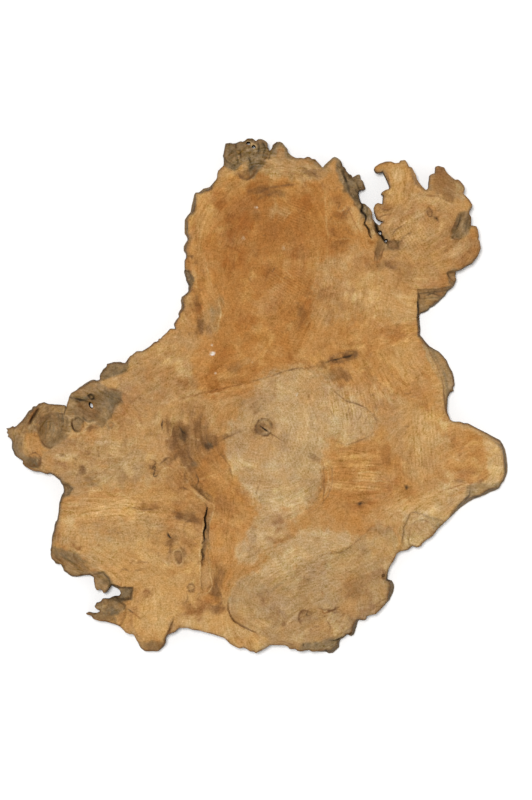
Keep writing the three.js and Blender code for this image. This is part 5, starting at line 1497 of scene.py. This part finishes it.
def dress(mesh, points, edge, face_count, back_count, tones):
    """Colours and patterns of every point: the sawn face, a duller back with the same zones, and a grey-brown
    wall that is lighter where the wood is sound."""
    spots = points[:, :2]
    # depth of the face's cracks and pits, which paint() turns into painted shade
    depth = np.where(np.arange(len(points)) < face_count, crack_depth(spots), 0)
    edge_distance = distance_within(spots, segments_of([edge], True), EDGE_REACH)
    ring, ray = growth(spots)
    grain = grain_field(spots, ray)
    colour = paint(spots, depth, edge_distance, grain, tones)
    back = slice(face_count, face_count + back_count)
    colour[back] = (1 - BACK_DULLNESS) * colour[back] + BACK_DULLNESS * tones["lobe"]

    wall = slice(face_count + back_count, len(points))
    place = np.column_stack([spots[wall], points[wall, 2] / METRES_PER_PIXEL])
    upright = place * (1, 1, 0.2)
    streak = smooth(0.5 + 0.5 * rough(upright, 5, 701, 3))[:, None]
    bark = tones["slate"] + (tones["ash"] - tones["slate"]) * streak
    brown = smooth(0.45 + 0.8 * rough(place * (1, 1, 0.5), 34, 702))[:, None]
    bark = bark + WALL_BROWN * brown * (tones["bark"] - bark)
    # splits in the wall, painted near black as the shade inside them
    split = smooth(1 - np.abs(noise(upright, 9, 703)) / SPLIT_WIDTH)[:, None]
    bark = bark + WALL_SPLITS * split * (tones["char"] - bark)
    weathered = crust(spots)
    sound = SOUND_WALL * (1 - weathered[wall])[:, None]
    colour[wall] = bark + sound * (colour[wall] - bark)
    weathered[wall] = np.maximum(weathered[wall], WALL_WEATHERED)
    keep(mesh, "tone", np.column_stack([linear(colour) / LIGHT_LEVEL, np.ones(len(colour))]))
    keep(mesh, "ring", ring)
    keep(mesh, "ray", np.column_stack([ray, np.zeros(len(ray))]))
    keep(mesh, "weathered", weathered)
    keep(mesh, "saw", saw_field(spots))
    keep(mesh, "grain", grain)


class Reading:
    """A socket of a node tree that takes part in Python sums, each of which adds a Math node."""

    def __init__(self, finish, socket):
        self.finish = finish
        self.socket = socket

    def math(self, operation, *values, swapped=False):
        """A Math node on this reading and other values."""
        inputs = (*values, self) if swapped else (self, *values)
        return self.finish.node("ShaderNodeMath", {"operation": operation}, dict(enumerate(inputs)))

    def __add__(self, other):
        return self.math("ADD", other)

    def __radd__(self, other):
        return self.math("ADD", other, swapped=True)

    def __sub__(self, other):
        return self.math("SUBTRACT", other)

    def __rsub__(self, other):
        return self.math("SUBTRACT", other, swapped=True)

    def __mul__(self, other):
        return self.math("MULTIPLY", other)

    def __truediv__(self, other):
        return self.math("DIVIDE", other)

    def __pow__(self, other):
        return self.math("POWER", other)


class Finish:
    """A material whose nodes are added by one method."""

    def __init__(self, name):
        self.material = bpy.data.materials.new(name)
        self.material.use_nodes = True
        self.tree = self.material.node_tree
        self.tree.nodes.clear()

    def node(self, kind, settings=None, sockets=None, output=0):
        """Adds a node, sets its settings and then its sockets, and returns one of its outputs."""
        made = self.tree.nodes.new(kind)
        for name, value in (settings or {}).items():
            setattr(made, name, value)
        for name, value in (sockets or {}).items():
            if isinstance(value, Reading):
                self.tree.links.new(value.socket, made.inputs[name])
            else:
                made.inputs[name].default_value = value
        return Reading(self, made.outputs[output]) if made.outputs else made

    def attribute(self, name, output="Fac"):
        """A value that the mesh keeps for each point."""
        return self.node("ShaderNodeAttribute", {"attribute_name": name}, output=output)

    def speckle(self, vector, scale, detail=2.0, roughness=0.5, distortion=0.0):
        """Noise about 0, mostly from -0.5 to 0.5."""
        sockets = {"Vector": vector, "Scale": scale, "Detail": detail, "Roughness": roughness}
        sockets["Distortion"] = distortion
        return self.node("ShaderNodeTexNoise", {}, sockets) - 0.5

    def step(self, value, low, high):
        """0 below low, 1 above high and a smooth rise between them."""
        sockets = {"Value": value, "From Min": low, "From Max": high}
        return self.node("ShaderNodeMapRange", {"interpolation_type": "SMOOTHSTEP"}, sockets)

    def mix(self, factor, first, second):
        """Two colours mixed by a factor."""
        return self.node("ShaderNodeMix", {"data_type": "RGBA"}, {0: factor, 6: first, 7: second}, output=2)

    def vector(self, operation, *values, output=0):
        """A Vector Math node."""
        return self.node("ShaderNodeVectorMath", {"operation": operation}, dict(enumerate(values)), output)

    def scaled(self, vector, factor):
        """A vector or colour times a number."""
        return self.node("ShaderNodeVectorMath", {"operation": "SCALE"}, {0: vector, "Scale": factor})

    def dot(self, vector, other):
        """The dot product of two vectors."""
        return self.vector("DOT_PRODUCT", vector, other, output="Value")

    def parts(self, vector):
        """A vector's three numbers."""
        made = self.node("ShaderNodeSeparateXYZ", {}, {0: vector})
        return [Reading(self, socket) for socket in made.socket.node.outputs]

    def combined(self, x, y, z):
        """A vector from three numbers."""
        return self.node("ShaderNodeCombineXYZ", {}, {0: x, 1: y, 2: z})


def ridge(finish, value, width):
    """1 where a reading crosses 0, falling to 0 within a width: thin lines."""
    return 1 - finish.step(value.math("ABSOLUTE"), 0.0, width)


def grain_streaks(finish, place, grain):
    """Streaks and seams along the grain. Each of several fixed directions has its own drawn-out noises, and
    every spot takes them by how near its grain runs to each. A seam is a thin line where a longer noise
    crosses a level. The sums are divided by the root of the squared weights, so the contrast stays even."""
    double_cosine, double_sine, strength = finish.parts(grain)
    streaks, dark_seams, pale_seams, squares = 0.0, 0.0, 0.0, 0.0001
    for turn in range(STREAK_DIRECTIONS):
        angle = np.pi * turn / STREAK_DIRECTIONS
        level = 3.7 * turn
        along = finish.dot(place, (np.cos(angle), np.sin(angle), 0))
        across = finish.dot(place, (-np.sin(angle), np.cos(angle), 0))
        drawn_place = finish.combined(along / STREAK_LENGTH, across / STREAK_WIDTH, level)
        seam_place = finish.combined(along / SEAM_LENGTH, across / SEAM_WIDTH, level + 1.3)
        drawn = finish.speckle(drawn_place, 1.0, 3, 0.6)
        seam = finish.speckle(seam_place, 1.0, 2, 0.5)
        close = double_cosine * float(np.cos(2 * angle)) + double_sine * float(np.sin(2 * angle))
        weight = close.math("MAXIMUM", 0.0) ** 3.0
        streaks = drawn * weight + streaks
        dark_seams = ridge(finish, seam, SEAM_LINE) * weight + dark_seams
        pale_seams = ridge(finish, seam - SEAM_APART, SEAM_LINE) * weight + pale_seams
        squares = weight * weight + squares
    share = strength / squares ** 0.5
    return streaks * share, dark_seams * share, pale_seams * share


def teak_finish(settings):
    """Bare sawn teak: rings and rays, pores, mottle, saw marks and, in the crust, fibres and pits."""
    finish = Finish("bare sawn teak")
    place = finish.node("ShaderNodeTexCoord", {}, output="Object")
    tone = finish.attribute("tone", "Color")
    ring = finish.attribute("ring")
    weathered = finish.attribute("weathered")
    ray = finish.attribute("ray", "Vector")
    saw_phase, saw_strength, speckled = finish.parts(finish.attribute("saw", "Vector"))
    clean = 1 - weathered

    parts = {name: finish.speckle(place, *values) for name, values in FINISH_NOISES.items()}
    clouds, mottle, curls = parts["clouds"], parts["mottle"], parts["curls"]
    drift = finish.node("ShaderNodeTexNoise", {}, {"Vector": place, "Scale": 45.0, "Detail": 2.0}, "Color")
    warped = finish.vector("ADD", place, finish.scaled(drift, DRIFT))
    streaks, dark_seams, pale_seams = grain_streaks(finish, warped, finish.attribute("grain", "Vector"))
    band_sockets = {"W": ring * 0.3 + clouds * 2.4, "Scale": 1.0, "Detail": 3.0, "Roughness": 0.7}
    bands = finish.node("ShaderNodeTexNoise", {"noise_dimensions": "1D"}, band_sockets) - 0.5
    ray_place = finish.vector("ADD", finish.scaled(ray, 30.0), finish.combined(0.0, 0.0, ring * 0.1))
    wave = ((saw_phase + mottle * 0.5) * (2 * np.pi)).math("SINE")
    grains = finish.step(parts["grains"], 0.04, 0.22)
    broken = finish.step(parts["patches"], 0.0, 0.14)
    parts |= {
        "streaks": streaks,
        "bands": bands,
        "rays": finish.speckle(ray_place, 1.0, 3, 0.62),
        "marks": wave * saw_strength * (0.5 + clouds),
        "pores": finish.step(parts["pores"], 0.10, 0.26),
        "grains": grains,
        "golden grains": grains * speckled,
        "dark veins": ridge(finish, curls, 0.016) * broken + ridge(finish, bands, 0.02) * 0.5,
        "pale veins": ridge(finish, curls - 0.06, 0.014) * broken + ridge(finish, bands - 0.06, 0.02) * 0.4,
        "dark seams": dark_seams,
        "pale seams": pale_seams,
    }

    def blend(amounts):
        return sum(parts[name] * amount for name, amount in amounts.items())

    light = blend(CLEAN_LIGHT) * clean + blend(WORN_LIGHT) * weathered
    tint = finish.combined(*(1 + light * amount for amount in LIGHT_TINT))
    colour = finish.vector("MULTIPLY", tone, tint)
    warm, cool = (finish.vector("MULTIPLY", colour, shade) for shade in (WARM, COOL))
    colour = finish.mix(finish.step(parts["patches"], -0.14, 0.14), warm, cool)
    roughness = SAWN_ROUGHNESS + weathered * CRUST_ROUGHNESS + mottle * MOTTLE_ROUGHNESS
    relief = blend(CLEAN_RELIEF) * clean + blend(WORN_RELIEF) * weathered
    bump = {"Strength": settings.relief, "Distance": RELIEF_HEIGHT, "Height": relief}
    shader = finish.node("ShaderNodeBsdfPrincipled", {}, {
        "Base Color": colour, "Roughness": roughness, "Specular IOR Level": 0.1,
        "Normal": finish.node("ShaderNodeBump", {}, bump),
    })
    finish.node("ShaderNodeOutputMaterial", {}, {"Surface": shader})
    return finish.material


class TeakSliceSettings(PropertyGroup):
    relief: FloatProperty(
        name="Grain relief", description="Strength of the fine relief of grain, saw marks and crust",
        default=0.6, min=0, max=1, subtype="FACTOR",
    )
    heartwood: FloatVectorProperty(
        name="Heartwood", description="Orange-brown wood of the upper lobe", size=3,
        default=TONES["heart"], min=0, max=1, subtype="COLOR_GAMMA",
    )
    sound_wood: FloatVectorProperty(
        name="Sound wood", description="Golden tan wood between the zones", size=3,
        default=TONES["tan"], min=0, max=1, subtype="COLOR_GAMMA",
    )
    crust_wood: FloatVectorProperty(
        name="Weathered wood", description="Grey-brown wood along the rim", size=3,
        default=TONES["ash"], min=0, max=1, subtype="COLOR_GAMMA",
    )


class TeakStageSettings(PropertyGroup):
    floor_colour: FloatVectorProperty(
        name="Floor", description="Plain pale floor", size=3,
        default=(0.97, 0.97, 0.97), min=0, max=1, subtype="COLOR_GAMMA",
    )
    key_strength: FloatProperty(
        name="Key light", description="Strength of the soft light from above", default=2.55, min=0,
    )
    fill_strength: FloatProperty(
        name="Fill light", description="Strength of the light from all round", default=0.42, min=0,
    )
    camera_height: FloatProperty(
        name="Camera height", description="Height of the camera above the floor",
        default=12, min=1, unit="LENGTH",
    )


class TEAK_OT_slice(Operator):
    """Builds the slab's surface and gives it its finish"""

    bl_idname = "teak.slice"
    bl_label = "Build the teak slice"

    def execute(self, context):
        settings = context.scene.teak_slice
        tones = {name: np.array(tone) for name, tone in TONES.items()}
        tones["heart"] = np.array(settings.heartwood)
        tones["tan"] = np.array(settings.sound_wood)
        tones["ash"] = np.array(settings.crust_wood)
        points, triangles, quads, edge, face_count, back_count = slice_surface()
        placed = np.column_stack([plan(points[:, :2]), points[:, 2]])
        mesh = build_mesh(placed, triangles, quads)
        if len(mesh.vertices) != len(points):
            raise RuntimeError("the surface lost points")
        dress(mesh, points, edge, face_count, back_count, tones)
        mesh.materials.append(teak_finish(settings))
        piece = bpy.data.objects.new("slice_surface", mesh)
        context.scene.collection.objects.link(piece)
        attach(piece, "root")
        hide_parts(NODE)
        print("slice:", len(points), "points", len(triangles) + 2 * len(quads), "triangles")
        return {"FINISHED"}


class TEAK_OT_stage(Operator):
    """Lays the pale floor, hangs the soft lights and sets the camera straight above"""

    bl_idname = "teak.stage"
    bl_label = "Set the stage"

    def execute(self, context):
        settings = context.scene.teak_stage
        self.floor(context, settings)
        self.lights(context, settings)
        self.camera(context, settings)
        return {"FINISHED"}

    def floor(self, context, settings):
        """A plain plate just under the slab."""
        mesh = bpy.data.meshes.new("floor")
        signs = ((-1, -1), (1, -1), (1, 1), (-1, 1))
        corners = [(x * FLOOR_HALF, y * FLOOR_HALF, -FLOOR_DROP) for x, y in signs]
        mesh.from_pydata(corners, [], [(0, 1, 2, 3)])
        finish = Finish("pale floor")
        place = finish.node("ShaderNodeTexCoord", {}, output="Object")
        plain = linear(np.array(settings.floor_colour))
        patches = finish.step(finish.speckle(place, 3, 3), -0.3, 0.3)
        colour = finish.mix(patches, (*plain, 1), (*(FLOOR_SHADE * plain), 1))
        shader = finish.node("ShaderNodeBsdfPrincipled", {}, {"Base Color": colour, "Roughness": 0.9})
        finish.node("ShaderNodeOutputMaterial", {}, {"Surface": shader})
        mesh.materials.append(finish.material)
        floor = bpy.data.objects.new("floor", mesh)
        context.scene.collection.objects.link(floor)

    def lights(self, context, settings):
        """A broad sun from above and a little to the upper left, and an even sky."""
        world = bpy.data.worlds.new("studio")
        world.use_nodes = True
        background = world.node_tree.nodes["Background"]
        background.inputs["Color"].default_value = (1, 1, 1, 1)
        background.inputs["Strength"].default_value = settings.fill_strength
        context.scene.world = world
        key = bpy.data.lights.new("key", "SUN")
        key.energy = settings.key_strength
        key.angle = np.radians(SUN_DEGREES)
        lamp = bpy.data.objects.new("key", key)
        lamp.rotation_euler = Vector(SUN_FROM).to_track_quat("Z", "Y").to_euler()
        context.scene.collection.objects.link(lamp)
        context.scene.view_settings.view_transform = "Standard"

    def camera(self, context, settings):
        """A long lens from straight above. The picture's long side is its height, which the sensor's width
        covers."""
        middle = plan(np.array(PICTURE_SIZE) / 2)
        height = PICTURE_SIZE[1] * METRES_PER_PIXEL
        camera = bpy.data.cameras.new("camera")
        camera.lens = camera.sensor_width * (settings.camera_height - WALL_WIDEST * THICKNESS) / height
        camera.clip_end = CAMERA_REACH
        eye = bpy.data.objects.new("camera", camera)
        eye.location = (*middle, settings.camera_height)
        context.scene.collection.objects.link(eye)
        context.scene.camera = eye


class TEAK_PT_sidebar(Panel):
    """Sizes and colours of the slice and its stage"""

    bl_label = "Teak slice"
    bl_idname = "TEAK_PT_sidebar"
    bl_space_type = "VIEW_3D"
    bl_region_type = "UI"
    bl_category = "Teak slice"

    def draw(self, context):
        layout, scene = self.layout, context.scene
        for settings, operator in ((scene.teak_slice, TEAK_OT_slice), (scene.teak_stage, TEAK_OT_stage)):
            for name in settings.bl_rna.properties.keys():
                if name not in ("rna_type", "name"):
                    layout.prop(settings, name)
            layout.operator(operator.bl_idname)


CLASSES = (TeakSliceSettings, TeakStageSettings, TEAK_OT_slice, TEAK_OT_stage, TEAK_PT_sidebar)


def register():
    for one in CLASSES:
        bpy.utils.register_class(one)
    bpy.types.Scene.teak_slice = PointerProperty(type=TeakSliceSettings)
    bpy.types.Scene.teak_stage = PointerProperty(type=TeakStageSettings)


def unregister():
    del bpy.types.Scene.teak_stage
    del bpy.types.Scene.teak_slice
    for one in reversed(CLASSES):
        bpy.utils.unregister_class(one)


def main():
    """Builds everything in order: registers the classes, builds the slice and sets the stage."""
    register()
    bpy.ops.teak.slice()
    bpy.ops.teak.stage()


if __name__ == "__main__":
    main()
